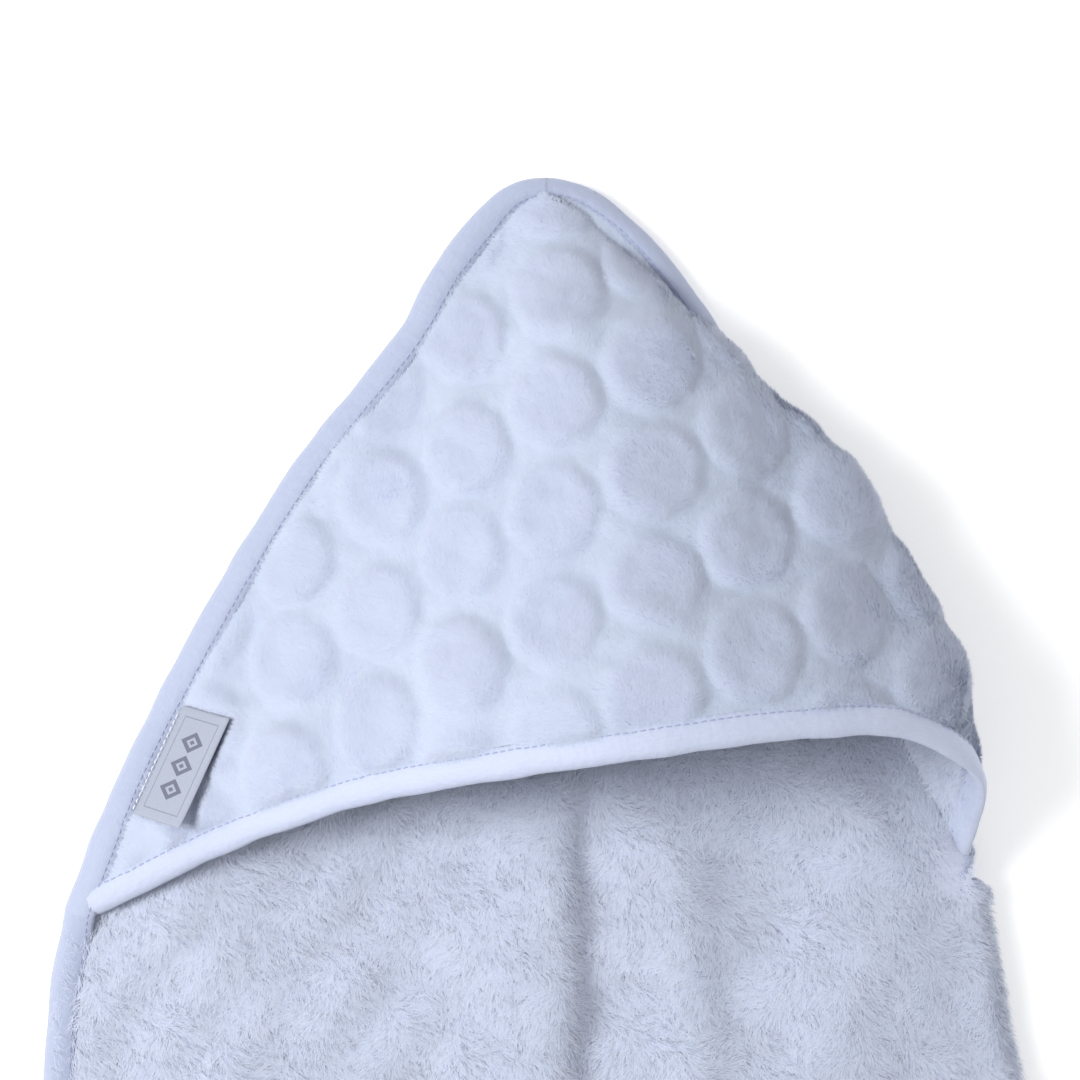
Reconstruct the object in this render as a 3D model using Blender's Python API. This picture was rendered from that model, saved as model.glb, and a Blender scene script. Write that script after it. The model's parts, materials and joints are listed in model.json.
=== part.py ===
"""Hooded baby towel, lying folded in half on its back with the hood puffed open.

Everything is laid out in millimetres and scaled to metres when a mesh is made.
+Y runs from the foot of the towel to the tip of the hood, +X is to the right, +Z is up.
The origin is at the middle of the footprint, on the surface that the towel lies on.
"""
import math

import bpy
import numpy as np

MM = 0.001

# ---------------------------------------------------------------- driving dimensions (mm)
HALF_LENGTH = 352.0        # the hood's tip and the foot edge lie this far from the origin
SIDE_X = 185.0             # the bound side and the folded side of the body
CORNER_RADIUS = 30.0       # rounded corners of the towel

PLUSH = 4.0                # thickness of the plush
PLUSH_RIM = 2.5            # the same plush squeezed inside a binding
RAMP_END = 25.0            # the plush has its full thickness this far from an edge

TAPE = 0.8                 # thickness of the folded satin tape
TAPE_GAP = 0.3             # clearance between the tape and the plush
TAPE_WIDTH = 9.0           # how far the tape reaches in from the edge
TAPE_REACH = 10.3          # the same along a slanting row
TIP_REACH = 5.0            # and at the tip
RIGHT_REACH = 6.5          # shorter where the hood turns up beside its right seam
MOST_OF_RIM = 0.9          # the tape ends short of the first grid column
RIM = 11.5                 # first grid column in from a slanting edge
STACK = PLUSH_RIM + TAPE_GAP   # the hood's edge lies this far above the body's edge

ROW_TURNED = (5, 12)       # sides of the tape's profile that split the other way along a row's edge
SIDE_TURNED = (0, 7)       # and down the side of the rows

THREAD_RADIUS = 0.35
THREAD_GAP = 0.4
THREAD_SHARE = 0.2         # the seam's place between the tape's inner edge and the raw edge

HOOD_HEIGHT = 82.0         # rise of the mouth above the seams
HOOD_BULGE = 25.0          # how far the right wall hangs over its seam
HOOD_PUSH = 54.0           # how far the mouth is drawn back towards the tip
PUSH_GROWTH = 1.2          # how that grows from the tip to the mouth
HOOD_ROUNDING = 1.3        # how steeply the height rises from the tip
PUFF_STARTS = 45.0         # the hood lies flat where it is narrower than this
PUFF_FULL = 150.0          # and stands at its full height where it is wider than this
RIM_RISE = 3.0             # the first column in from the left seam stands this high in the puffed part
RIM_RISE_RIGHT = 2.0
HOOD_ROWS = 13
HOOD_COLUMNS = 26
HOOD_DEPTH = 300.0         # length of the hood from tip to mouth along a seam
SEAM_SLANT = 0.84          # cosine of the seams' slant, across a row
MOUTH_TRIM = 0.15          # the mouth tape starts this share of a column clear of the perimeter tape

UPPER_Z = 15.5             # middle of the upper layer of the body
UPPER_EDGE_Z = 15.0        # the same layer at its bound side
UPPER_SEAM_Z = 14.0        # the same layer where the hood's right seam meets the fold
LOWER_Z = PLUSH / 2        # middle of the lower layer, flat on the surface
LOWER_EDGE_Z = 3.95        # the same layer where tape and thread lie under it
FLAP_Z = 9.5               # the corner that is tucked in between the layers
SEAM_Z = 2.85               # the body's edge under the hood, with the tape below it
INSET = 14.0               # the lower layer stays this far inside the upper one
FOLD_STEPS = 6
UPPER_COLUMNS = 14
LOWER_COLUMNS = 11
FIRST_ROW = 0.026          # share of the body's length where the fold starts, below the hood
BODY_SHARES = [FIRST_ROW, 0.053, 0.085, 0.12, 0.17, 0.25, 0.34, 0.44, 0.54, 0.64, 0.74, 0.84, 0.93, 0.958,
               0.979, 1.0]
PLEAT_HEIGHT = 7.0
PLEAT_CREST = 4.0          # x of the pleat's ridge at PLEAT_CREST_Y
PLEAT_CREST_Y = 12.0
PLEAT_LEAN = 0.03          # the ridge moves this far to the right for each millimetre up
PLEAT_LEFT = 26.0          # the ridge falls off gently to the left and steeply to the right
PLEAT_RIGHT = 9.0

FLAP_TOP = 103.0           # top fold of the lower layer at the bound side
FLAP_COLUMN = 3            # the flap starts this many columns in from the fold
FLAP_LEFT = 281.0          # length of the flap at the bound side
FLAP_RIGHT = 26.0          # and next to the fold
FLAP_RIM = 12.2            # tape's width measured along the length, on the slanting free edge
FLAP_SLANT = 0.79          # cosine of that edge's slant
FLAP_ROWS = 5
FLAP_FOLD_STEPS = 4
CORNER_STEP = 0.2          # where the tape turns the flap's inner corner, in steps of the fold
LOWER_SKEW = 8.0           # the lower layer's foot edge lies this far up at the bound side

LABEL_LENGTH = 45.0
LABEL_WIDTH = 24.0
LABEL_THICKNESS = 1.0
LABEL_ROUNDING = 1.5
LABEL_LOW_Y = 112.0        # the label's sewn side spans these heights on the left seam
LABEL_HIGH_Y = 152.0
LABEL_FROM_SEAM = 12.2     # its hinge line, along a row
LABEL_LIFT = 3.7           # above the plush's middle

# ---------------------------------------------------------------- outlines (mm, seen from above)
HOOD_LEFT = [(2, 352), (-11, 349), (-22, 339.5), (-37, 320.5), (-52, 294), (-90, 246), (-128, 184),
             (-154.5, 131), (-175.5, 78)]
HOOD_RIGHT = [(2, 352), (12, 350), (20.5, 346), (34, 335.5), (53, 314), (70, 288), (97, 236), (122, 180),
              (145, 130), (161, 99)]
BODY_LEFT = [(-175.5, 78), (-180.5, 57), (-183.5, 31), (-184.5, 12), (-SIDE_X, -60), (-SIDE_X, -200),
             (-SIDE_X, -HALF_LENGTH + CORNER_RADIUS)]
BODY_RIGHT = [(161, 99), (167, 88), (169, 74), (172, 58), (175, 39.5), (180, 14.5), (184, -30), (SIDE_X, -120),
              (SIDE_X, -HALF_LENGTH)]

# The hood's cross-section between its two rims, from left to right: share of the width, share of the
# bulge, share of the height, share of the push towards the tip.
HOOD_SECTION = [(0.135, 0.0, 0.17, 0.36), (0.307, 0.0, 0.46, 0.68), (0.478, 0.0, 0.80, 0.84),
                (0.64, 0.0, 1.0, 0.94), (0.80, 0.0, 0.94, 1.0), (0.93, 0.45, 0.72, 0.94),
                (1.014, 1.0, 0.43, 0.58), (1.025, 0.6, 0.2, 0.26)]


# ---------------------------------------------------------------- curves
def smooth_line(points, fractions):
    """Points at the given fractions of the length of a smooth line through the control points."""
    p = np.array(points, dtype=float)
    step = np.sqrt(np.linalg.norm(np.diff(p, axis=0), axis=1))[:, None]
    chord = np.diff(p, axis=0) / step
    slope = np.empty_like(p)
    slope[0], slope[-1] = chord[0], chord[-1]
    slope[1:-1] = (chord[1:] * step[:-1] + chord[:-1] * step[1:]) / (step[1:] + step[:-1])
    u = np.linspace(0, 1, 16, endpoint=False)[:, None]
    dense = [(2 * u**3 - 3 * u**2 + 1) * p[k] + (u**3 - 2 * u**2 + u) * step[k] * slope[k]
             + (3 * u**2 - 2 * u**3) * p[k + 1] + (u**3 - u**2) * step[k] * slope[k + 1]
             for k in range(len(step))]
    dense = np.vstack(dense + [p[-1:]])
    length = np.concatenate([[0], np.cumsum(np.linalg.norm(np.diff(dense, axis=0), axis=1))])
    at = np.asarray(fractions) * length[-1]
    return np.column_stack([np.interp(at, length, dense[:, k]) for k in range(p.shape[1])])


def ramp(value, low, high):
    """0 below low, 1 above high, smooth between them."""
    t = np.clip((value - low) / (high - low), 0, 1)
    return t * t * (3 - 2 * t)


def spread(total, rim, count):
    """Distances along a row: both ends, one rim inside each, and even steps between."""
    rim = min(rim, 0.3 * total)
    return np.concatenate([[0], np.linspace(rim, total - rim, count - 1), [total]])


def unit(v):
    return v / np.linalg.norm(v)


# ---------------------------------------------------------------- heights of the body's layers (mm)
def under_layer_share(y):
    """1 where the body lies on its lower layer, 0 where it lies on the surface under the hood."""
    return 1 - ramp(y, 115, 172)


def seam_height(y, side):
    """Middle of the body's edge along the hood's seams."""
    if side < 0:
        return SEAM_Z + (UPPER_EDGE_Z - SEAM_Z) * (1 - ramp(y, 105, 160))
    return SEAM_Z + (UPPER_SEAM_Z - SEAM_Z) * under_layer_share(y)


def pleat(x, y):
    """Ridge of the pleat that falls from the hood's mouth to the foot."""
    crest = PLEAT_CREST + PLEAT_LEAN * (y - PLEAT_CREST_Y)
    side = np.where(x < crest, PLEAT_LEFT, PLEAT_RIGHT)
    ends = ramp(-y, -120, -40) * ramp(y, -HALF_LENGTH, -150)
    return PLEAT_HEIGHT * np.exp(-((x - crest) / side) ** 2) * ends


def hood_base(t):
    """Left and right ends of the hood's row t (0 at the tip, 1 at the mouth), on the body's edge."""
    left = smooth_line(HOOD_LEFT, [t])[0]
    right = smooth_line(HOOD_RIGHT, [t])[0]
    return (np.append(left, seam_height(left[1], -1)), np.append(right, seam_height(right[1], 1)))


HOOD_T = [0, 0.045] + list(np.linspace(0, 1, HOOD_ROWS)[1:-1] ** 0.9) + [0.97, 1.0]


# ---------------------------------------------------------------- the hood's middle surface
def hood_row(t):
    """Control points of the hood's cross-section in row t."""
    left, right = hood_base(t)
    across = right - left
    width = math.hypot(across[0], across[1])
    along = np.array([across[0], across[1], 0]) / width
    rim = min(RIM, 0.3 * width)
    puff = float(ramp(width, PUFF_STARTS, PUFF_FULL))
    height = HOOD_HEIGHT * (1 - (1 - t) ** HOOD_ROUNDING) * puff
    bulge = HOOD_BULGE * float(ramp(t, 0.27, 0.62) * (1 - 0.75 * ramp(t, 0.8, 1)))
    push = HOOD_PUSH * t ** PUSH_GROWTH
    # near the tip the low right wall stays clear of its own rim
    tuck = 1.5 * rim * (1 - float(ramp(height, 8, 40)))
    keys = [(0, 0, 0), (rim, RIM_RISE * puff, 0.02)]
    keys += [(rim + (width - 2 * rim) * share + bulge * out - tuck * share ** 4, height * up, back)
             for share, out, up, back in HOOD_SECTION]
    keys += [(width - rim, 0.05 * height + RIM_RISE_RIGHT * puff, 0.05), (width, 0, 0)]
    points = []
    for distance, up, back in keys:
        base = left[2] + (right[2] - left[2]) * min(distance / width, 1)
        points.append((left[0] + along[0] * distance, left[1] + along[1] * distance + push * back,
                       base + STACK + up))
    return points


def section_length(points):
    dense = smooth_line(points, np.linspace(0, 1, 60))
    return float(np.linalg.norm(np.diff(dense, axis=0), axis=1).sum())


def hood_points_in_row(t):
    points = hood_row(t)
    total = section_length(points)
    distance = spread(total, RIM, HOOD_COLUMNS)
    return smooth_line(points, distance / total), distance


# ---------------------------------------------------------------- meshes
def material(name, colour, roughness):
    mat = bpy.data.materials.new(name)
    mat.use_nodes = True
    shader = mat.node_tree.nodes["Principled BSDF"]
    shader.inputs["Base Color"].default_value = (*colour, 1)
    shader.inputs["Roughness"].default_value = roughness
    shader.inputs["Metallic"].default_value = 0
    return mat


def add_object(name, vertices, faces, mat, origin=(0, 0, 0)):
    mesh = bpy.data.meshes.new(name)
    mesh.from_pydata([tuple((np.array(v) - origin) * MM) for v in vertices], [], faces)
    mesh.update()
    mesh.shade_smooth()
    mesh.set_sharp_from_angle(angle=math.radians(40))
    mesh.materials.append(mat)
    obj = bpy.data.objects.new(name, mesh)
    obj.location = np.array(origin) * MM
    bpy.context.scene.collection.objects.link(obj)
    return obj


def vertex_normals(points, faces):
    normals = np.zeros_like(points)
    for face in faces:
        a, b, c, d = (points[face[k % len(face)]] for k in (0, 1, 2, 3 if len(face) > 3 else 0))
        normal = np.cross(c - a, d - b) if len(face) > 3 else np.cross(b - a, c - a)
        for k in face:
            normals[k] += normal
    return normals / np.linalg.norm(normals, axis=1)[:, None]


def sheet_solid(name, points, faces, thickness, mat):
    """Closed solid of a sheet of cloth, half its thickness to each side of the middle surface."""
    points = np.array(points)
    offset = vertex_normals(points, faces) * np.array(thickness)[:, None] / 2
    count = len(points)
    edges = {(f[k], f[(k + 1) % len(f)]) for f in faces for k in range(len(f))}
    rim = [(a, b) for a, b in edges if (b, a) not in edges]
    solid = [tuple(f) for f in faces]
    solid += [tuple(k + count for k in (f[0], *reversed(f[1:]))) for f in faces]
    solid += [(b, a, a + count, b + count) for a, b in rim]
    return add_object(name, np.vstack([points + offset, points - offset]), solid, mat)


def loft(name, rings, closed, mat, origin=(0, 0, 0), turned=None):
    """Closed solid through rings of equal length: a loop, or a strip with two flat ends.

    The sides turned at each ring start at another corner, so that they split along the same diagonal
    as the sheet that they lie on.
    """
    size = len(rings[0])
    steps = len(rings) if closed else len(rings) - 1
    faces = []
    for k in range(steps):
        a, b = k * size, (k + 1) % len(rings) * size
        for j in range(size):
            face = (a + j, a + (j + 1) % size, b + (j + 1) % size, b + j)
            faces.append(face[1:] + face[:1] if turned and j in turned[k] else face)
    if not closed:
        faces += [tuple(reversed(range(size))), tuple(range((len(rings) - 1) * size, len(rings) * size))]
    return add_object(name, np.vstack(rings), faces, mat, origin)


# ---------------------------------------------------------------- tape and thread along an edge
class Spot:
    """A place on a sheet's middle surface, with the surface's normal and half its thickness."""

    def __init__(self, point, normal, half):
        self.point, self.normal, self.half = point, normal, half

    def towards(self, other, share):
        """The spot at that share of the way to another one; share 0 is here."""
        return Spot(self.point + (other.point - self.point) * share,
                    unit(self.normal + (other.normal - self.normal) * share),
                    self.half + (other.half - self.half) * share)

    def raised(self, lift):
        return self.point + self.normal * (self.half + lift)

    def lowered(self, lift):
        return self.point - self.normal * (self.half + lift)


class Station:
    """One place on a bound edge: the front sheet's edge and a spot inside it, and the back sheet's."""

    def __init__(self, edge, inside, back_edge=None, back_inside=None, reach=TAPE_REACH, turned=ROW_TURNED):
        self.turned = turned
        self.edge, self.back_edge = edge, back_edge or edge
        self.leg_end = self.at_reach(edge, inside, reach)
        self.back_leg_end = self.at_reach(self.back_edge, back_inside or inside, reach)
        inner = self.leg_end.point + self.back_leg_end.point
        self.out = unit(self.edge.point + self.back_edge.point - inner)
        self.thread_spot = self.leg_end.towards(self.edge, THREAD_SHARE)

    @staticmethod
    def at_reach(edge, inside, reach):
        return edge.towards(inside, min(reach / np.linalg.norm(inside.point - edge.point), MOST_OF_RIM))

    def towards(self, other, share):
        """A station between this one and another on the same sheet."""
        return Station(self.edge.towards(other.edge, share), self.leg_end.towards(other.leg_end, share))

    def leg(self, lift):
        """Profile of one face of the tape, from the end of its front leg round the edge to the back."""
        middle = (self.edge.point + self.back_edge.point) / 2
        return [self.leg_end.raised(lift),
                self.edge.raised(lift),
                self.edge.raised(lift * 0.3) + self.out * lift * 0.85,
                middle + self.out * lift * 1.2,
                self.back_edge.lowered(lift * 0.3) + self.out * lift * 0.85,
                self.back_edge.lowered(lift),
                self.back_leg_end.lowered(lift)]

    def tape_ring(self):
        return self.leg(TAPE_GAP + TAPE) + self.leg(TAPE_GAP)[::-1]

    def thread_ring(self):
        spot = self.thread_spot
        centre = spot.raised(TAPE_GAP + TAPE + THREAD_GAP + THREAD_RADIUS)
        inward = unit(self.leg_end.point - self.edge.point)
        angles = [math.tau * k / 6 for k in range(6)]
        return [centre + (spot.normal * math.cos(a) - inward * math.sin(a)) * THREAD_RADIUS for a in angles]


# ---------------------------------------------------------------- body panel
class Sheet:
    """Vertices, faces and thickness of a sheet, filled row by row."""

    def __init__(self):
        self.points, self.faces, self.thickness = [], [], []

    def spots(self):
        """One Spot for each vertex."""
        normals = vertex_normals(np.array(self.points), self.faces)
        return [Spot(p, n, t / 2) for p, n, t in zip(self.points, normals, self.thickness)]

    def row(self, points, thickness):
        first = len(self.points)
        self.points += [np.array(p) for p in points]
        self.thickness += list(thickness)
        return list(range(first, first + len(points)))

    def join(self, upper, lower):
        """Quads between two rows; the sheet's front is to the left when going down its left side."""
        for k in range(min(len(upper), len(lower)) - 1):
            self.faces.append((upper[k], lower[k], lower[k + 1], upper[k + 1]))


def plush_thickness(distance):
    return PLUSH_RIM + (PLUSH - PLUSH_RIM) * ramp(np.asarray(distance, dtype=float), TAPE_WIDTH + 1, RAMP_END)


LEFT_SIDE = np.vstack([smooth_line(line, np.linspace(0, 1, 60)) for line in (HOOD_LEFT, BODY_LEFT)])
RIGHT_SIDE = smooth_line(BODY_RIGHT, np.linspace(0, 1, 60))


def left_edge(y):
    """The body's bound side at height y, with the rounded corner at the foot."""
    x = np.interp(-y, -LEFT_SIDE[:, 1], LEFT_SIDE[:, 0])
    low = -HALF_LENGTH + CORNER_RADIUS - y
    if low > 0:
        x += CORNER_RADIUS - math.sqrt(max(CORNER_RADIUS ** 2 - low ** 2, 0))
    return x


def right_edge(y):
    return np.interp(-y, -RIGHT_SIDE[:, 1], RIGHT_SIDE[:, 0])


def upper_height(x, y, edge_z, distance):
    """Middle of the upper layer, distance in from its nearest bound side."""
    share = under_layer_share(y)
    inner = LOWER_Z + (UPPER_Z - LOWER_Z) * share + pleat(x, y)
    return edge_z + (inner - edge_z) * ramp(distance, TAPE_WIDTH + 1, RAMP_END)


def lower_height(distance):
    return LOWER_EDGE_Z + (LOWER_Z - LOWER_EDGE_Z) * ramp(distance, TAPE_WIDTH + 1, RAMP_END)


def hood_side_row(t):
    """The body's layer under the hood, in the hood's row t, and its thickness."""
    left, right = hood_base(t)
    width = math.hypot(*(right - left)[:2])
    distance = spread(width, RIM, UPPER_COLUMNS)
    share = distance / width
    row = left + (right - left) * share[:, None]
    inset = np.minimum(distance, width - distance) * SEAM_SLANT
    for k, point in enumerate(row):
        point[2] = upper_height(point[0], point[1], point[2], inset[k])
    return row, plush_thickness(inset)


def body_row(share):
    """One row below the hood: upper layer, fold, lower layer; share is 0 at the top, 1 at the foot."""
    y_left = BODY_LEFT[0][1] - share * (BODY_LEFT[0][1] + HALF_LENGTH)
    y_right = BODY_RIGHT[0][1] - share * (BODY_RIGHT[0][1] + HALF_LENGTH)
    from_foot = y_right + HALF_LENGTH
    from_top = (share - FIRST_ROW) * (BODY_RIGHT[0][1] + HALF_LENGTH)
    upper_z = UPPER_Z
    lower_z = lower_height(min(from_foot, from_top))
    radius = (upper_z - lower_z) / 2
    x_left = left_edge(y_left)
    x_fold = right_edge(y_right) - PLUSH / 2 - radius
    distance = spread(x_fold - x_left, TAPE_WIDTH + 1, UPPER_COLUMNS)
    points, thickness = [], []
    for d in distance:
        x = x_left + d
        y = y_left + (y_right - y_left) * d / distance[-1]
        near = min(d, from_foot, math.hypot(distance[-1] - d, from_top))
        points.append((x, y, upper_height(x, y, UPPER_EDGE_Z, d)))
        thickness.append(float(plush_thickness(near)))
    at_fold = float(plush_thickness(min(from_foot, from_top)))
    for k in range(1, FOLD_STEPS):
        angle = math.pi * k / FOLD_STEPS
        z = (upper_z + lower_z) / 2 + radius * math.cos(angle)
        points.append((x_fold + radius * math.sin(angle), y_right, z))
        thickness.append(at_fold)
    down = (share - FIRST_ROW) / (1 - FIRST_ROW)
    y_far = FLAP_TOP - down * (FLAP_TOP + HALF_LENGTH - LOWER_SKEW)
    x_far = left_edge(y_far) + INSET
    width = x_fold - x_far
    distance = spread(width, TAPE_WIDTH + 1, LOWER_COLUMNS)
    distance = np.insert(distance, FLAP_COLUMN + 1, distance[FLAP_COLUMN] + TAPE_WIDTH + 1)
    for d in distance:
        y = y_right + (y_far - y_right) * d / width
        open_top = math.hypot(max(d - distance[FLAP_COLUMN], 0), from_top)
        near = min(width - d, from_foot, open_top)
        points.append((x_fold - d, y, float(lower_height(near))))
        thickness.append(float(plush_thickness(near)))
    return points, thickness


def flap_rows(top_row):
    """The tucked corner: over the top fold of the lower layer and down to its slanting free edge."""
    top = np.array(top_row)
    right, left = top[0], top[-1]
    width = right[0] - left[0]
    rows = []
    for step in range(1, FLAP_FOLD_STEPS):
        angle = math.pi * step / FLAP_FOLD_STEPS
        radius = (FLAP_Z - top[:, 2]) / 2
        rows.append(np.column_stack([top[:, 0], top[:, 1] + radius * math.sin(angle),
                                     (FLAP_Z + top[:, 2]) / 2 - radius * math.cos(angle)]))
    across = (right[0] - top[:, 0]) / width
    drop = FLAP_RIGHT + (FLAP_LEFT - FLAP_RIGHT) * across
    corner = np.clip(1 - (top[:, 0] - left[0]) / CORNER_RADIUS, 0, 1)
    drop = drop - CORNER_RADIUS * (1 - np.sqrt(1 - corner ** 2))
    level = np.full(len(top), FLAP_Z)
    for part in np.linspace(0, 1, FLAP_ROWS):
        rows.append(np.column_stack([top[:, 0], top[:, 1] - (drop - FLAP_RIM) * part, level]))
    rows.append(np.column_stack([top[:, 0], top[:, 1] - drop, level]))
    thick = []
    for row in rows:
        near = np.minimum(np.minimum(row[:, 0] - left[0], right[0] - row[:, 0]),
                          (row[:, 1] - rows[-1][:, 1]) * FLAP_SLANT)
        thick.append(plush_thickness(near))
    return rows, thick


def build_body_panel(mat):
    """The folded body, and the stations of its whole bound edge except where the hood lies on it."""
    sheet = Sheet()
    apex = sheet.row([hood_base(0)[0]], [PLUSH_RIM])
    rows = [sheet.row(*hood_side_row(t)) for t in HOOD_T[1:]]
    sheet.faces += [(apex[0], rows[0][k], rows[0][k + 1]) for k in range(UPPER_COLUMNS)]
    under_hood = len(rows)
    rows += [sheet.row(*body_row(share)) for share in BODY_SHARES]
    for upper, lower in zip(rows, rows[1:]):
        sheet.join(upper, lower)
    first = UPPER_COLUMNS + FOLD_STEPS + FLAP_COLUMN
    top = rows[under_hood]
    flap = [top[first:]]
    points, thickness = flap_rows([sheet.points[k] for k in top[first:]])
    flap += [sheet.row(p, t) for p, t in zip(points, thickness)]
    for lower, upper in zip(flap, flap[1:]):
        sheet.join(upper, lower)
    sheet_solid("body_panel", sheet.points, sheet.faces, sheet.thickness, mat)

    body = rows[under_hood:]
    at = sheet.spots()

    def down_side(pairs):
        return [Station(at[a], at[b], turned=SIDE_TURNED) for a, b in pairs]

    def along_row(pairs):
        return [Station(at[a], at[b]) for a, b in pairs]

    edge = down_side((row[0], row[1]) for row in body[:-1])
    edge += along_row([(body[-1][0], body[-2][1])])
    edge += along_row((body[-1][k], body[-2][k]) for k in range(1, len(top) - 1))
    edge += down_side([(body[-1][-1], body[-2][-2])])
    edge += down_side((row[-1], row[-2]) for row in body[-2::-1])
    edge += down_side((row[-1], row[-2]) for row in flap[1:-1])
    edge += along_row([(flap[-1][-1], flap[-2][-2])])
    edge += along_row((flap[-1][k], flap[-2][k]) for k in range(len(flap[0]) - 2, 0, -1))
    edge += down_side([(flap[-1][0], flap[-2][1])])
    edge += down_side((row[0], row[1]) for row in flap[-2:0:-1])
    corner, beside = at[flap[0][0]], at[flap[0][1]]
    edge += [Station(corner.towards(at[flap[1][0]], CORNER_STEP), beside.towards(at[flap[1][1]], CORNER_STEP))]
    edge += along_row([(body[0][first], body[1][first + 1])])
    edge += along_row((body[0][k], body[1][k]) for k in range(first - 1, UPPER_COLUMNS, -1))
    edge += down_side([(body[0][UPPER_COLUMNS], body[1][UPPER_COLUMNS])])
    under = [[at[k] for k in row] for row in rows[:under_hood]]
    return edge, under, at[apex[0]]


# ---------------------------------------------------------------- hood, tapes, threads, label
def build_hood_panel(mat):
    """The puffed hood; gives the spots of its rows and of its tip."""
    sheet = Sheet()
    apex = sheet.row([hood_base(0)[0] + [0, 0, STACK]], [PLUSH_RIM])
    rows = []
    for t in HOOD_T[1:]:
        points, distance = hood_points_in_row(t)
        near = np.minimum(distance, distance[-1] - distance) * SEAM_SLANT
        thickness = plush_thickness(np.minimum(near, (1 - t) * HOOD_DEPTH))
        points[:, 2] += thickness - PLUSH_RIM
        rows.append(sheet.row(points, thickness))
    sheet.faces += [(apex[0], rows[0][k], rows[0][k + 1]) for k in range(HOOD_COLUMNS)]
    for upper, lower in zip(rows, rows[1:]):
        sheet.join(upper, lower)
    sheet_solid("hood_panel", sheet.points, sheet.faces, sheet.thickness, mat)
    at = sheet.spots()
    return [[at[k] for k in row] for row in rows], at[apex[0]]


def perimeter_stations(hood, hood_tip, edge, under, under_tip):
    """Stations all round the towel, down its left side first."""
    left = [Station(h[0], h[1], b[0], b[1], TAPE_REACH, SIDE_TURNED) for h, b in zip(hood, under)]
    right = [Station(h[-1], h[-2], b[-1], b[-2], RIGHT_REACH, SIDE_TURNED) for h, b in zip(hood, under)]
    tip = Station(hood_tip, hood[1][len(hood[1]) // 2], under_tip, under[1][len(under[1]) // 2], TIP_REACH)
    return [tip] + left + edge + right[::-1]


def mouth_stations(hood):
    """Stations along the hood's mouth, between the two legs of the perimeter tape."""
    whole = [Station(edge, inside) for edge, inside in zip(hood[-1], hood[-2])]
    return [whole[1].towards(whole[2], MOUTH_TRIM)] + whole[2:-2] + [whole[-2].towards(whole[-3], MOUTH_TRIM)]


def hood_point(t, distance):
    points = hood_row(t)
    return smooth_line(points, [distance / section_length(points)])[0]


def label_frame():
    """Origin on the hinge line, direction along it, direction across the label, and its normal."""
    seam = smooth_line(HOOD_LEFT, np.linspace(0, 1, 200))
    t_low, t_high = (np.interp(-y, -seam[:, 1], np.linspace(0, 1, 200)) for y in (LABEL_LOW_Y, LABEL_HIGH_Y))
    low, high = hood_point(t_low, LABEL_FROM_SEAM), hood_point(t_high, LABEL_FROM_SEAM)
    free = hood_point((t_low + t_high) / 2, LABEL_FROM_SEAM + LABEL_WIDTH) + [0, 0, PLUSH - PLUSH_RIM]
    along = unit(high - low)
    across = free - (low + high) / 2
    across = unit(across - along * across.dot(along))
    normal = np.cross(across, along)
    return (low + high) / 2 + normal * LABEL_LIFT, along, across, normal


def build_label(label_mat, thread_mat):
    origin, along, across, normal = label_frame()
    start = THREAD_RADIUS + TAPE_GAP
    end = start + LABEL_WIDTH
    half = LABEL_LENGTH / 2
    outline = [(start, -half)]
    for centre, first in ((-half + LABEL_ROUNDING, -90), (half - LABEL_ROUNDING, 0)):
        for step in range(4):
            angle = math.radians(first + 30 * step)
            outline.append((end - LABEL_ROUNDING + LABEL_ROUNDING * math.cos(angle),
                            centre + LABEL_ROUNDING * math.sin(angle)))
    outline.append((start, half))
    rings = [[origin + across * u + along * v + normal * side for u, v in outline]
             for side in (-LABEL_THICKNESS / 2, LABEL_THICKNESS / 2)]
    loft("woven_label", rings, False, label_mat, origin)
    ring = [math.tau * k / 8 for k in range(8)]
    tube = [[origin + along * v + (across * math.cos(a) - normal * math.sin(a)) * THREAD_RADIUS for a in ring]
            for v in (-half + 1, half - 1)]
    loft("label_thread", tube, False, thread_mat)


def main():
    for obj in list(bpy.data.objects):
        bpy.data.objects.remove(obj, do_unlink=True)
    body_plush = material("body_plush", (0.80, 0.82, 0.90), 0.95)
    hood_plush = material("hood_plush", (0.82, 0.84, 0.93), 0.90)
    satin = material("satin_tape", (0.74, 0.77, 0.90), 0.45)
    cotton = material("thread", (0.70, 0.73, 0.86), 0.60)
    woven = material("woven_label_grey", (0.52, 0.54, 0.60), 0.50)

    edge, under, under_tip = build_body_panel(body_plush)
    hood, hood_tip = build_hood_panel(hood_plush)
    stations = perimeter_stations(hood, hood_tip, edge, under, under_tip)
    turned = [s.turned for s in stations]
    loft("perimeter_binding", [s.tape_ring() for s in stations], True, satin, turned=turned)
    loft("perimeter_thread", [s.thread_ring() for s in stations], True, cotton)
    mouth = mouth_stations(hood)
    turned = [s.turned for s in mouth]
    loft("hood_edge_binding", [s.tape_ring() for s in mouth], False, satin, turned=turned)
    loft("hood_edge_thread", [s.thread_ring() for s in mouth], False, cotton)
    build_label(woven, cotton)


main()
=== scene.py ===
"""Looks of the hooded baby towel: plush cloth with real pile, satin binding, stitches and a woven label.

Lengths are millimetres until a mesh is made. The outlines repeat those of the CAD part.
"""
import json
import math
from functools import partial

import bpy
import numpy as np
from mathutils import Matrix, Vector, kdtree


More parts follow.
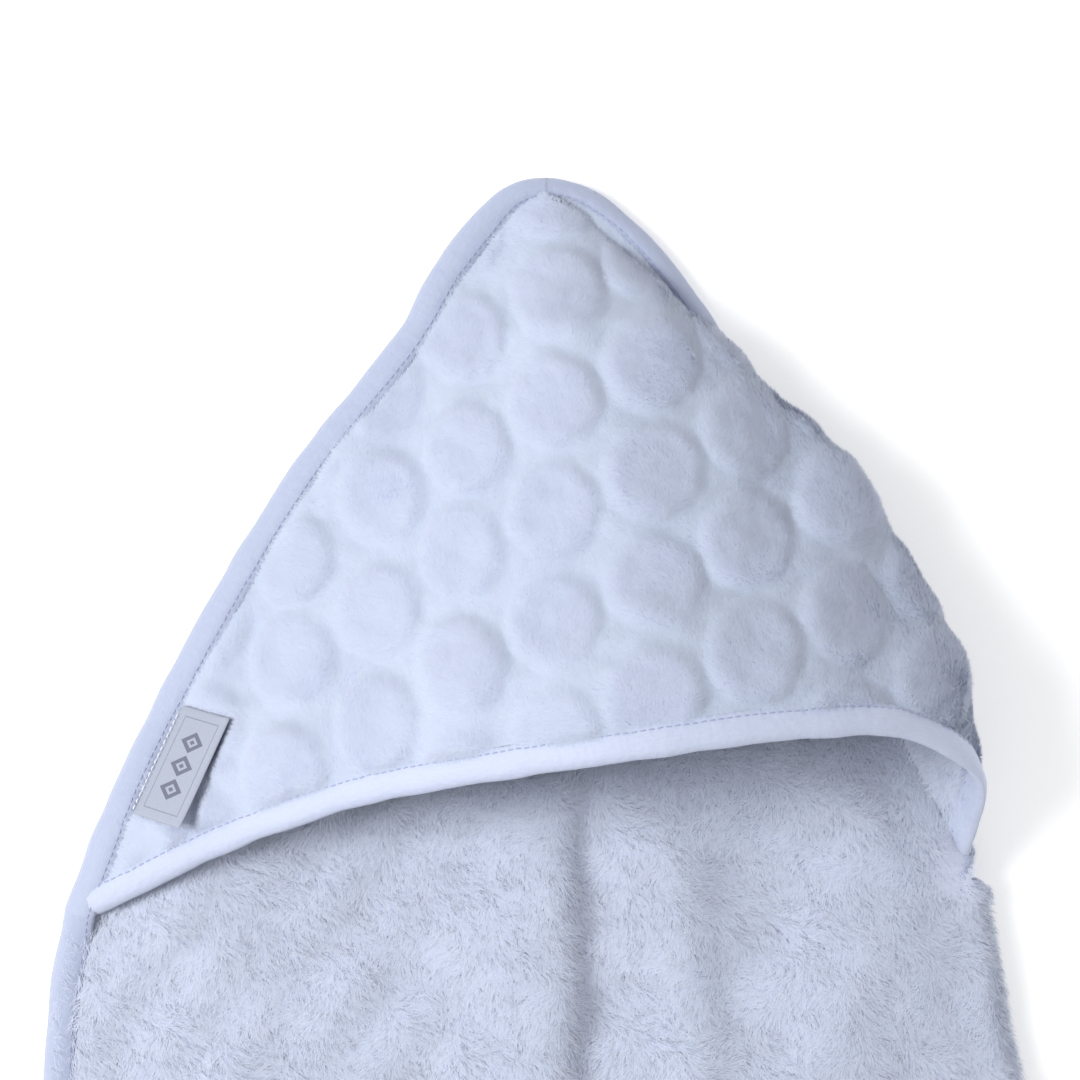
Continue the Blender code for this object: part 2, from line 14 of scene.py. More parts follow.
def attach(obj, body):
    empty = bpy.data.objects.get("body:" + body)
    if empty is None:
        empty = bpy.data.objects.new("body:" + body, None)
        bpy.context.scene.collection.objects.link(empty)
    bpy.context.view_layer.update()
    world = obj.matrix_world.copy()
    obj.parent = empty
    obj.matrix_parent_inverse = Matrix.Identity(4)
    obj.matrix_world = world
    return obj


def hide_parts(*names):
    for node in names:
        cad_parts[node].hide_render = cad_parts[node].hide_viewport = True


MM = 0.001
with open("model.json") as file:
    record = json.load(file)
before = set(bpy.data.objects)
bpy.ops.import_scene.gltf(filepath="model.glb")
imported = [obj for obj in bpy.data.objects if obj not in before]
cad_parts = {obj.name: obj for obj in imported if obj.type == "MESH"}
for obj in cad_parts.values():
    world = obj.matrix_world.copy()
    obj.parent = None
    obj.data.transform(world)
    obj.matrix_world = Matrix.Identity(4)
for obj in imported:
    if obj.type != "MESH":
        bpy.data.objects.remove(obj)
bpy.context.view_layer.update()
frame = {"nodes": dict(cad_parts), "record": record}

# ------------------------- the part's dimensions (mm)
HALF_LENGTH = 352.0
SIDE_X = 185.0
CORNER_RADIUS = 30.0
RIM = 11.5
STACK = 2.8
HOOD_HEIGHT = 82.0
HOOD_BULGE = 25.0
HOOD_PUSH = 54.0
UPPER_Z, UPPER_EDGE_Z, UPPER_SEAM_Z = 15.5, 15.0, 14.0
LOWER_Z, LOWER_EDGE_Z = 2.0, 3.95
FLAP_Z = 9.5
SEAM_Z = 2.85
INSET = 14.0
EDGE_RAMP = (10.0, 25.0)
FLAP_TOP, FLAP_LEFT, FLAP_RIGHT = 103.0, 281.0, 26.0
LOWER_SKEW = 8.0
LABEL_LENGTH, LABEL_WIDTH = 45.0, 24.0
LABEL_FREE = LABEL_WIDTH + 0.6     # the label's width with its folded free edge
LABEL_COLUMNS, LABEL_ROWS = 52, 92
LABEL_HALF = 0.42
DIAMOND_WIDE, DIAMOND_LONG, DIAMOND_PITCH = 5.6, 4.3, 9.6
BORDER_U, BORDER_V, BORDER_HALF = 8.6, 18.6, 0.22

HOOD_LEFT = [(2, 352), (-11, 349), (-22, 339.5), (-37, 320.5), (-52, 294), (-90, 246), (-128, 184),
             (-154.5, 131), (-175.5, 78)]
HOOD_RIGHT = [(2, 352), (12, 350), (20.5, 346), (34, 335.5), (53, 314), (70, 288), (97, 236), (122, 180),
              (145, 130), (161, 99)]
BODY_LEFT = [(-175.5, 78), (-180.5, 57), (-183.5, 31), (-184.5, 12), (-SIDE_X, -60), (-SIDE_X, -200),
             (-SIDE_X, -HALF_LENGTH + CORNER_RADIUS)]
BODY_RIGHT = [(161, 99), (167, 88), (169, 74), (172, 58), (175, 39.5), (180, 14.5), (184, -30),
              (SIDE_X, -120), (SIDE_X, -HALF_LENGTH)]
HOOD_SECTION = [(0.135, 0.0, 0.17, 0.36), (0.307, 0.0, 0.46, 0.68), (0.478, 0.0, 0.80, 0.84),
                (0.64, 0.0, 1.0, 0.94), (0.80, 0.0, 0.94, 1.0), (0.93, 0.45, 0.72, 0.94),
                (1.014, 1.0, 0.43, 0.58), (1.025, 0.6, 0.2, 0.26)]

# ------------------------- fineness of the looks
HOOD_ROWS = 168
HOOD_COLUMNS = 216
UPPER_COLUMNS = 96
FOLD_STEPS = 12
LOWER_COLUMNS = 84
FLAP_COLUMN = 19
BODY_ROWS = 112
FLAP_ROWS = 26
HALF = 1.25                # half the thickness of the knitted ground under the pile
SEAM_SHARE = 0.84          # distance from a slanting seam, as a share of the distance along a row
HOOD_DEPTH = 300.0         # from the hood's mouth to its tip, along the cloth
NO_PILE = -999.0           # marks the cloth of the tucked corner, where no pile grows
PILE_FLOOR = 0.3           # lowest height of a blade's end
PILE_SHEEN = (0.9, 0.12)   # roughness and sheen of the pile

TAPE_REACH = 10.0          # how far the tape reaches onto the cloth
RIGHT_REACH = 4.8          # the same on the hood's right side
END_REACH = 4.5            # the same at the hood's tip and beside the fold
TAPE_LIFT = 0.35
TAPE_POINTS = 25           # points round the tape's outside
TAPE_GIRTH = 26.0
TAPE_RING = 1.03           # distance between two rings of points along the tape
TAPE_FLOOR = 0.25
STITCH_PITCH, STITCH_LENGTH, STITCH_RADIUS = 3.1, 2.5, 0.3
STITCH_SIDES = 6

PLEAT_X, PLEAT_HEIGHT, PLEAT_LEFT, PLEAT_RIGHT = 5.0, 7.0, 30.0, 7.0
FOLD_X, FOLD_HEIGHT, FOLD_LEFT, FOLD_RIGHT = 54.0, 5.0, 16.0, 11.0
DRAPE = (1.6, 0.7)         # heights of the body's wide and narrow waves

DOME_PITCH = 40.4          # the hood's raised dots, measured along the cloth
DOME_COLUMN = 36.0
DOME_RADIUS = 19.2
DOME_GROOVE = 6.3
DOME_HEIGHT = 1.9
DOME_CENTRE_Y = 226.5
DOME_DROP = 5.5
DOME_AXIS = 5.7            # x of the column of dots in the middle of the hood
DOME_SHIFT = 1.3           # the most that a dot is off its place
HOOD_BLADES = 125000       # blades in each of the four pieces of the hood's pile
HOOD_BLADE = (2.6, 0.28, 56)       # length, width and lean in degrees
INNER_BLADE = (3.4, 0.36, 50)
CORNER_BLADE = (5.5, 0.30, 42)
BODY_LEAN = 46


# ------------------------- curves and fields
def smooth_line(points, fractions):
    """Points at the given fractions of the length of a smooth line through the control points."""
    p = np.array(points, dtype=float)
    step = np.sqrt(np.linalg.norm(np.diff(p, axis=0), axis=1))[:, None]
    chord = np.diff(p, axis=0) / step
    slope = np.empty_like(p)
    slope[0], slope[-1] = chord[0], chord[-1]
    slope[1:-1] = (chord[1:] * step[:-1] + chord[:-1] * step[1:]) / (step[1:] + step[:-1])
    u = np.linspace(0, 1, 16, endpoint=False)[:, None]
    dense = [(2 * u**3 - 3 * u**2 + 1) * p[k] + (u**3 - 2 * u**2 + u) * step[k] * slope[k]
             + (3 * u**2 - 2 * u**3) * p[k + 1] + (u**3 - u**2) * step[k] * slope[k + 1]
             for k in range(len(step))]
    dense = np.vstack(dense + [p[-1:]])
    length = np.concatenate([[0], np.cumsum(np.linalg.norm(np.diff(dense, axis=0), axis=1))])
    at = np.asarray(fractions) * length[-1]
    return np.column_stack([np.interp(at, length, dense[:, k]) for k in range(p.shape[1])])


def ramp(value, low, high):
    """0 below low, 1 above high, and a smooth step between them."""
    t = np.clip((np.asarray(value, dtype=float) - low) / (high - low), 0, 1)
    return t * t * (3 - 2 * t)


def unit(v):
    return v / np.maximum(np.linalg.norm(v, axis=-1, keepdims=True), 1e-12)


def waves(p, size, seed, count=10):
    """Smooth noise of about -1 to 1 with features of the given size, at points of 2 or 3 columns."""
    rng = np.random.default_rng(seed)
    p = np.asarray(p, dtype=float)
    total = np.zeros(len(p))
    for _ in range(count):
        way = unit(rng.normal(size=p.shape[1])) * math.tau / (size * rng.uniform(0.7, 1.5))
        total += np.sin(p @ way + rng.uniform(0, math.tau))
    return total / math.sqrt(count)


# ------------------------- heights (mm)
def under_layer_share(y):
    """1 where the body's lower layer lies under the upper one, falling to 0 towards the hood's tip."""
    return 1 - ramp(y, 115, 172)


def seam_height(y, side):
    if side < 0:
        return SEAM_Z + (UPPER_EDGE_Z - SEAM_Z) * (1 - ramp(y, 105, 160))
    return SEAM_Z + (UPPER_SEAM_Z - SEAM_Z) * under_layer_share(y)


def relief(x, y):
    """Folds of the body's upper layer: one sharp pleat, a softer one to its right, and gentle waves."""
    x, y = np.asarray(x, dtype=float), np.asarray(y, dtype=float)
    fall = ramp(-y, -150, -95) * ramp(y, -HALF_LENGTH, -170)
    crest = PLEAT_X + 0.03 * (y - 12) + 1.6 * np.sin(y / 23)
    side = np.where(x < crest, PLEAT_LEFT, PLEAT_RIGHT)
    pleat = PLEAT_HEIGHT * np.exp(-((x - crest) / side) ** 2)
    pleat -= 1.5 * np.exp(-((x - crest - 14) / 10) ** 2)
    second = FOLD_X - 0.05 * (y - 60) + 2 * np.sin(y / 31 + 1)
    side = np.where(x < second, FOLD_LEFT, FOLD_RIGHT)
    fold = FOLD_HEIGHT * np.exp(-((x - second) / side) ** 2) * ramp(-y, -160, -60)
    third = 4.0 * np.exp(-((x - 120 - 0.25 * (y - 60)) / 22) ** 2) * ramp(y, -60, 40)
    left = 3.0 * np.exp(-((x + 128 + 0.1 * (y - 40)) / 16) ** 2) * ramp(-y, -120, -60)
    flat = np.column_stack([x.ravel(), y.ravel()])
    swell = DRAPE[0] * waves(flat * [1.0, 0.55], 70, 3) + DRAPE[1] * waves(flat, 28, 4)
    swell = swell.reshape(x.shape)
    return pleat * fall + (fold + third + left) * fall + swell * ramp(y, -HALF_LENGTH, -300)


def hood_base(t):
    """Left and right points of the hood's seam at share t of the way from its tip to its mouth."""
    left = smooth_line(HOOD_LEFT, [t])[0]
    right = smooth_line(HOOD_RIGHT, [t])[0]
    return (np.append(left, seam_height(left[1], -1)), np.append(right, seam_height(right[1], 1)))


def hood_row(t):
    """Control points of the hood's arch from its left seam to its right one."""
    left, right = hood_base(t)
    across = right - left
    width = math.hypot(across[0], across[1])
    along = np.array([across[0], across[1], 0]) / width
    rim = min(RIM, 0.3 * width)
    puff = float(ramp(width, 45, 150))
    height = HOOD_HEIGHT * (1 - (1 - t) ** 1.3) * puff
    bulge = HOOD_BULGE * float(ramp(t, 0.27, 0.62) * (1 - 0.75 * ramp(t, 0.8, 1)))
    push = HOOD_PUSH * t ** 1.2
    tuck = 0.6 * rim * (1 - float(ramp(height, 8, 40)))
    keys = [(0, 0, 0), (rim, 3 * puff, 0.02)]
    keys += [(rim + (width - 2 * rim) * share + bulge * out - tuck * share ** 4, height * up, back)
             for share, out, up, back in HOOD_SECTION]
    upright = float(ramp(height, 20, 55))
    keys += [(width - rim * (1 - 0.8 * upright), 0.06 * height + 2 * puff, 0.05), (width, 0, 0)]
    points = []
    for distance, up, back in keys:
        base = left[2] + (right[2] - left[2]) * min(distance / width, 1)
        points.append((left[0] + along[0] * distance, left[1] + along[1] * distance + push * back,
                       base + STACK + up))
    return points


# ------------------------- sheets and meshes
class Sheet:
    """Points of a cloth's middle surface, with faces filled row by row."""

    def __init__(self):
        self.points, self.faces = [], []

    def row(self, points):
        first = len(self.points)
        self.points += [np.array(p, dtype=float) for p in points]
        return list(range(first, first + len(points)))

    def join(self, upper, lower):
        for k in range(min(len(upper), len(lower)) - 1):
            self.faces.append((upper[k], lower[k], lower[k + 1], upper[k + 1]))

    def close(self):
        self.points = np.array(self.points)
        self.corners = np.array([f if len(f) == 4 else (*f, f[2]) for f in self.faces])
        self.normals = self.vertex_normals(self.points)
        self.tree = kdtree.KDTree(len(self.points))
        for k, p in enumerate(self.points):
            self.tree.insert(p, k)
        self.tree.balance()

    def vertex_normals(self, points):
        a, b, c, d = (points[self.corners[:, k]] for k in range(4))
        normal = np.cross(c - a, d - b)
        total = np.zeros_like(points)
        for k in range(4):
            np.add.at(total, self.corners[:, k], normal)
        return unit(total)

    def leg_end(self, edge, inward, reach):
        """Point and normal on the sheet, reach inward from an edge point."""
        target = edge + inward * reach
        _, k, _ = self.tree.find(target)
        n = self.normals[k]
        return target - n * np.dot(target - self.points[k], n), n


def new_object(name, mesh, mat, body):
    mesh.materials.append(mat)
    obj = bpy.data.objects.new(name, mesh)
    bpy.context.scene.collection.objects.link(obj)
    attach(obj, body)
    return obj


def mesh_from(name, points, faces, attributes=None):
    mesh = bpy.data.meshes.new(name)
    mesh.from_pydata((np.asarray(points) * MM).tolist(), [], faces)
    mesh.update()
    mesh.shade_smooth()
    for key, values in (attributes or {}).items():
        layer = mesh.attributes.new(key, "FLOAT_VECTOR", "POINT")
        layer.data.foreach_set("vector", np.asarray(values, dtype=np.float32).ravel())
    return mesh


def slab(name, sheet, front, back):
    """Closed mesh of a sheet between two surfaces."""
    count = len(front)
    edges = set()
    for f in sheet.faces:
        edges.update((f[k], f[(k + 1) % len(f)]) for k in range(len(f)))
    rim = [(a, b) for a, b in edges if (b, a) not in edges]
    faces = [tuple(f) for f in sheet.faces]
    faces += [tuple(k + count for k in reversed(f)) for f in sheet.faces]
    faces += [(b, a, a + count, b + count) for a, b in sorted(rim)]
    return mesh_from(name, np.vstack([front, back]), faces)


# ------------------------- pile
def scatter(points, corners, normals, share, number, seed):
    """Random places on the faces, weighted by area and by each point's share: position and normal."""
    rng = np.random.default_rng(seed)
    a, b, c, d = (points[corners[:, k]] for k in range(4))
    area = np.linalg.norm(np.cross(c - a, d - b), axis=1) * share[corners].mean(axis=1)
    pick = np.searchsorted(np.cumsum(area) / area.sum(), rng.uniform(0, 1, number))
    pick = np.minimum(pick, len(corners) - 1)
    s, t = rng.uniform(0, 1, (2, number, 1))
    weights = [(1 - s) * (1 - t), s * (1 - t), s * t, (1 - s) * t]
    place = sum(w * points[corners[pick, k]] for k, w in enumerate(weights))
    normal = unit(sum(w * normals[corners[pick, k]] for k, w in enumerate(weights)))
    return place, normal


def clumped(place, cell, pull, seed):
    """Offset of each place towards the middle of its clump."""
    rng = np.random.default_rng(seed)
    table = rng.uniform(0.15, 0.85, (61, 67, 3))
    index = np.floor(place / cell).astype(int)
    centre = (index + table[(index[:, 0] * 7 + index[:, 2] * 3) % 61, (index[:, 1] * 5 + index[:, 2]) % 67])
    return (centre * cell - place) * pull


def heading(turn, rise=0.0):
    return np.column_stack([np.cos(turn), np.sin(turn), np.full(len(turn), rise)])


def tufts(name, place, normal, nap, length, width, lean, clump, seed, mat, slot, droop=0.0, stray=0.5,
          short=False, shadows=False, uneven=0.2):
    """Thin blades of pile, one per place; nap is the way they lean. Short ones are straight.

    lean is in degrees, clump is the cell, the pull and the seed of the clumps, and stray is the spread of
    the headings in radians. uneven tips the shading, so that the blades tell from each other.
    """
    rng = np.random.default_rng(seed)
    count = len(place)
    nap = unit(nap - normal * (nap * normal).sum(axis=1, keepdims=True))
    side = np.cross(normal, nap)
    turn = rng.normal(0, stray, (count, 1))
    nap = nap * np.cos(turn) + side * np.sin(turn)
    angle = np.radians(lean + rng.normal(0, 9, (count, 1)))
    way = unit(normal * np.cos(angle) + nap * np.sin(angle))
    long = length * rng.uniform(0.7, 1.25, (count, 1))
    gather = clumped(place, *clump)
    gather -= normal * (gather * normal).sum(axis=1, keepdims=True)
    tip = place + way * long + gather
    bend = nap * long * droop
    middle = place + way * long * 0.55 + gather * 0.4 - bend * 0.25
    tip = tip + bend * 0.4 - normal * np.abs(bend).max(axis=1, keepdims=True) * 0.3
    for end in (tip, middle):
        end[:, 2] = np.maximum(end[:, 2], PILE_FLOOR)
    axis = unit(tip - place)
    flat = unit(np.cross(axis, normal))
    up = np.cross(flat, axis)
    roll = rng.uniform(-0.75, 0.75, (count, 1))
    flat = flat * np.cos(roll) + up * np.sin(roll)
    half = width / 2 * rng.uniform(0.7, 1.3, (count, 1))
    corner = [place - flat * half, place + flat * half]
    if not short:
        corner += [middle - flat * half * 0.8, middle + flat * half * 0.8]
    corner = np.stack(corner + [tip], axis=1)
    size = corner.shape[1]
    shade = unit(normal + way * uneven + np.cross(flat, axis) * uneven * 0.8)
    vertices = corner.reshape(-1, 3) * MM
    base = (np.arange(count) * size)[:, None]
    parts = [[0, 1, 2]] if short else [[0, 1, 3], [0, 3, 2], [2, 3, 4]]
    faces = np.concatenate([base + part for part in parts], axis=1).reshape(-1, 3)
    mesh = bpy.data.meshes.new(name)
    mesh.vertices.add(len(vertices))
    mesh.vertices.foreach_set("co", vertices.astype(np.float32).ravel())
    mesh.loops.add(faces.size)
    mesh.loops.foreach_set("vertex_index", faces.astype(np.int32).ravel())
    mesh.polygons.add(len(faces))
    mesh.polygons.foreach_set("loop_start", np.arange(0, faces.size, 3, dtype=np.int32))
    mesh.update(calc_edges=True)
    mesh.shade_smooth()
    free = mesh.attributes.new("custom_normal", "FLOAT_VECTOR", "POINT")
    free.data.foreach_set("vector", np.repeat(shade, size, axis=0).astype(np.float32).ravel())
    obj = new_object(name, mesh, mat, "towel")
    obj.visible_shadow = shadows
    return obj


# ------------------------- tape and stitches
def even_tip(controls):
    """The tape's control points, smoothed along it round the hood's tip, where the loop closes."""
    place = np.arange(len(controls))
    near = np.exp(-(np.minimum(place, len(controls) - place) / 6) ** 2)[:, None, None]
    for _ in range(10):
        even = (np.roll(controls, 1, axis=0) + 2 * controls + np.roll(controls, -1, axis=0)) / 4
        controls = controls * (1 - near) + even * near
    return controls


def tape(name, front_edge, front_leg, back_edge, back_leg, closed, mat, bulge):
    """Padded satin tape folded round an edge. Edges and legs are (points, normals) along it.

    Gives the object, the places and normals of its stitch line, and the distance along it.
    """
    fe, fn = front_edge
    fl, fln = front_leg
    be, bn = back_edge
    bl, bln = back_leg
    out = unit(fe + be - fl - bl)
    middle = (fe + be) / 2
    thick = HALF + TAPE_LIFT
    gap = np.linalg.norm(fe - be, axis=1, keepdims=True) / 2
    round_out = thick + 0.6 + gap * 0.5
    controls = [fl + fln * (HALF - 0.25),
                fl + (fe - fl) * 0.05 + fln * (thick + 0.15),
                fl + (fe - fl) * 0.32 + fln * (thick + bulge),
                fl + (fe - fl) * 0.68 + fn * (thick + bulge * 1.15),
                fe + fn * (thick + bulge * 0.45) + out * 0.5,
                fe + fn * thick * 0.35 + out * round_out * 0.8,
                middle + out * round_out,
                be - bn * thick * 0.35 + out * round_out * 0.8,
                be - bn * (thick + bulge * 0.2) + out * 0.4,
                bl + (be - bl) * 0.6 - bn * (thick + bulge * 0.5),
                bl + (be - bl) * 0.06 - bln * (thick + 0.1),
                bl - bln * (HALF - 0.25)]
    controls = np.array(controls).transpose(1, 0, 2)
    if closed:
        controls = even_tip(controls)
    across = np.linspace(0, 1, TAPE_POINTS)
    rings = np.array([smooth_line(c, across) for c in controls])
    if closed:
        rings = np.concatenate([rings, rings[:1]])
    step = np.linalg.norm(np.diff(rings[:, 5], axis=0), axis=1)
    length = np.concatenate([[0], np.cumsum(step)])
    at = np.linspace(0, length[-1], int(length[-1] / TAPE_RING))
    low = np.clip(np.searchsorted(length, at, side="right") - 1, 0, len(length) - 2)
    part = ((at - length[low]) / np.maximum(length[low + 1] - length[low], 1e-9))[:, None, None]
    rings = rings[low] * (1 - part) + rings[low + 1] * part

    centre = rings[:, 7:18].mean(axis=1, keepdims=True)
    away = unit(rings - centre)
    near_seam = np.exp(-((across - 0.07) / 0.09) ** 2) + np.exp(-((across - 0.93) / 0.09) ** 2)
    phase = at * math.tau / STITCH_PITCH
    flat = np.column_stack([at, np.zeros_like(at)])
    pucker = 0.13 * np.cos(phase)[:, None] * near_seam[None, :]
    apart = (ramp(at, 0, 12) * ramp(at[-1] - at, 0, 12) if closed else np.ones_like(at))[:, None]
    soft = apart * waves(flat, 19, 8)[:, None] * 0.28 * np.sin(across * math.pi)[None, :]
    crease = apart * waves(flat, 5.5, 9)[:, None] * 0.10 * (0.35 + near_seam)[None, :]
    rings = rings + away * (pucker + soft + crease)[..., None]
    inner = rings[:, 1:-1][:, ::-1] * 0.86 + centre * 0.14
    whole = np.concatenate([rings, inner], axis=1)
    whole[..., 2] = np.maximum(whole[..., 2], TAPE_FLOOR)
    if closed:
        whole = whole[:-1]
    steps, size = whole.shape[:2]
    grid = np.arange(steps * size).reshape(steps, size)
    nxt = np.roll(grid, -1, axis=0) if closed else grid[1:]
    cur = grid if closed else grid[:-1]
    faces = np.stack([cur, nxt, np.roll(nxt, -1, axis=1), np.roll(cur, -1, axis=1)], axis=-1).reshape(-1, 4)
    faces = [tuple(f) for f in faces.tolist()]
    if not closed:
        faces += [tuple(grid[0].tolist()), tuple(grid[-1, ::-1].tolist())]
    ways = np.concatenate([across, across[1:-1][::-1]]) * TAPE_GIRTH
    place = np.stack([np.repeat(at[:steps, None], size, axis=1), np.tile(ways, (steps, 1)),
                      np.zeros((steps, size))], axis=-1)
    mesh = mesh_from(name, whole.reshape(-1, 3), faces, {"tape": place.reshape(-1, 3)})
    obj = new_object(name, mesh, mat, "towel")
    seam = rings[:, 2] * 0.6 + rings[:, 3] * 0.4
    return obj, seam, unit(seam - centre[:, 0]), at


def stitches(name, seam, up, at, mat, pitch=STITCH_PITCH, length=STITCH_LENGTH):
    """One small stitch of thread after another along a seam, each dipping into the cloth at its ends."""
    number = int((at[-1] - at[0]) / pitch)
    middle = at[0] + (np.arange(number) + 0.5) * pitch
    steps = np.array([-0.5, -0.36, 0.0, 0.36, 0.5])
    thick = np.array([0.35, 0.85, 1.0, 0.85, 0.35]) * STITCH_RADIUS
    rise = np.array([-0.30, 0.02, 0.12, 0.02, -0.30])
    where = middle[:, None] + steps * length
    line = np.stack([np.interp(where, at, seam[:, k]) for k in range(3)], axis=-1)
    normal = unit(np.stack([np.interp(where, at, up[:, k]) for k in range(3)], axis=-1))
    way = unit(line[:, 4] - line[:, 0])[:, None, :]
    side = unit(np.cross(normal, np.broadcast_to(way, normal.shape)))
    centre = line + normal * rise[None, :, None]
    angles = np.linspace(0, math.tau, STITCH_SIDES, endpoint=False)
    ring = (normal[:, :, None, :] * np.cos(angles)[None, None, :, None]
            + side[:, :, None, :] * np.sin(angles)[None, None, :, None]) * thick[None, :, None, None]
    vertices = (centre[:, :, None, :] + ring).reshape(-1, 3)
    one = np.arange(len(steps) * STITCH_SIDES).reshape(len(steps), STITCH_SIDES)
    faces = [(one[i, j], one[i, (j + 1) % STITCH_SIDES], one[i + 1, (j + 1) % STITCH_SIDES], one[i + 1, j])
             for i in range(len(steps) - 1) for j in range(STITCH_SIDES)]
    caps = [tuple(one[0, ::-1]), tuple(one[-1])]
    every = [tuple(int(v) + k * one.size for v in f) for k in range(number) for f in faces + caps]
    return new_object(name, mesh_from(name, vertices, every), mat, "towel")


# ------------------------- materials
def plain(name, colour, roughness, sheen, sheen_roughness=0.5, specular=0.3):
    mat = bpy.data.materials.new(name)
    mat.use_nodes = True
    shader = mat.node_tree.nodes["Principled BSDF"]
    for socket, value in (("Base Color", (*colour, 1)), ("Roughness", roughness), ("Sheen Weight", sheen),
                          ("Sheen Roughness", sheen_roughness), ("Specular IOR Level", specular)):
        shader.inputs[socket].default_value = value
    return mat


def node(mat, kind, values=(), **links):
    """Adds a node; values set its sockets, links join them to other nodes' sockets."""
    made = mat.node_tree.nodes.new(kind)
    for key, value in dict(values).items():
        if key in made.inputs.keys() or isinstance(key, int):
            made.inputs[key].default_value = value
        else:
            setattr(made, key, value)
    for key, source in links.items():
        socket = made.inputs[int(key[1:])] if key[0] == "i" and key[1:].isdigit() else made.inputs[key]
        mat.node_tree.links.new(source, socket)
    return made


def math_node(mat, operation, a, b=None):
    """Output of a new math node; a and b are numbers or other nodes' outputs."""
    made = mat.node_tree.nodes.new("ShaderNodeMath")
    made.operation = operation
    for k, value in enumerate((a, b)):
        if isinstance(value, (int, float)):
            made.inputs[k].default_value = value
        elif value is not None:
            mat.node_tree.links.new(value, made.inputs[k])
    return made.outputs[0]


def mix_colours(mat, share, first, second):
    made = mat.node_tree.nodes.new("ShaderNodeMix")
    made.data_type = "RGBA"
    mat.node_tree.links.new(share, made.inputs[0])
    for socket, value in ((made.inputs[6], first), (made.inputs[7], second)):
        if isinstance(value, tuple):
            socket.default_value = (*value, 1)
        else:
            mat.node_tree.links.new(value, socket)
    return made.outputs[2]


def to_shader(mat, socket, source):
    mat.node_tree.links.new(source, mat.node_tree.nodes["Principled BSDF"].inputs[socket])


def plush_ground(name, light, dark, streak):
    """Knitted ground of the plush with its short root pile: soft mottled colour and streaky relief."""
    mat = plain(name, light, 0.95, 0.35)
    calc = partial(math_node, mat)
    place = node(mat, "ShaderNodeTexCoord").outputs["Object"]
    turned = node(mat, "ShaderNodeMapping", {"Scale": streak, "Rotation": (0, 0, 0.4)}, Vector=place)
    patches = node(mat, "ShaderNodeTexNoise", {"Scale": 55.0, "Detail": 4.0}, Vector=place)
    hairs = node(mat, "ShaderNodeTexNoise", {"Scale": 900.0, "Detail": 6.0, "Roughness": 0.65},
                 Vector=turned.outputs[0])
    tone = calc("MULTIPLY", patches.outputs[0], hairs.outputs[0])
    tone = calc("MULTIPLY", tone, 2.2)
    to_shader(mat, "Base Color", mix_colours(mat, tone, dark, light))
    bump = node(mat, "ShaderNodeBump", {"Strength": 0.8, "Distance": 0.0012}, Height=hairs.outputs[0])
    to_shader(mat, "Normal", bump.outputs[0])
    return mat


def satin(name, light, dark):
    """Bias-cut cotton satin: fine slanting weave and soft streaks of colour."""
    mat = plain(name, light, 0.5, 0.25, 0.4, 0.4)
    calc = partial(math_node, mat)
    along = node(mat, "ShaderNodeAttribute", {"attribute_name": "tape"}).outputs["Vector"]
    parts = node(mat, "ShaderNodeSeparateXYZ", Vector=along)
    slant = calc("ADD", parts.outputs[0], parts.outputs[1])
    other = calc("SUBTRACT", parts.outputs[0], parts.outputs[1])
    warp = calc("SINE", calc("MULTIPLY", slant, math.tau / 0.55))
    weft = calc("SINE", calc("MULTIPLY", other, math.tau / 0.8))
    weave = calc("ADD", warp, calc("MULTIPLY", weft, 0.5))
    wide = node(mat, "ShaderNodeMapping", {"Scale": (0.05, 0.35, 1)}, Vector=along)
    streaks = node(mat, "ShaderNodeTexNoise", {"Scale": 4.0, "Detail": 5.0, "Roughness": 0.6},
                   Vector=wide.outputs[0])
    creases = node(mat, "ShaderNodeTexNoise", {"Scale": 0.35, "Detail": 3.0}, Vector=along)
    to_shader(mat, "Base Color", mix_colours(mat, streaks.outputs[0], dark, light))
    rough = node(mat, "ShaderNodeMapRange", {"To Min": 0.42, "To Max": 0.62}, Value=streaks.outputs[0])
    to_shader(mat, "Roughness", rough.outputs[0])
    height = calc("ADD", calc("MULTIPLY", weave, 0.035), creases.outputs[0])
    bump = node(mat, "ShaderNodeBump", {"Strength": 0.55, "Distance": 0.0007}, Height=height)
    to_shader(mat, "Normal", bump.outputs[0])
    return mat


def thread(name, light, dark):
    """Twisted cotton thread."""
    mat = plain(name, light, 0.6, 0.3)
    place = node(mat, "ShaderNodeTexCoord").outputs["Object"]
    twist = node(mat, "ShaderNodeTexWave", {"Scale": 900.0, "Distortion": 1.5, "bands_direction": "DIAGONAL"},
                 Vector=place)
    to_shader(mat, "Base Color", mix_colours(mat, twist.outputs["Fac"], dark, light))
    bump = node(mat, "ShaderNodeBump", {"Strength": 0.6, "Distance": 0.0001}, Height=twist.outputs["Fac"])
    to_shader(mat, "Normal", bump.outputs[0])
    return mat


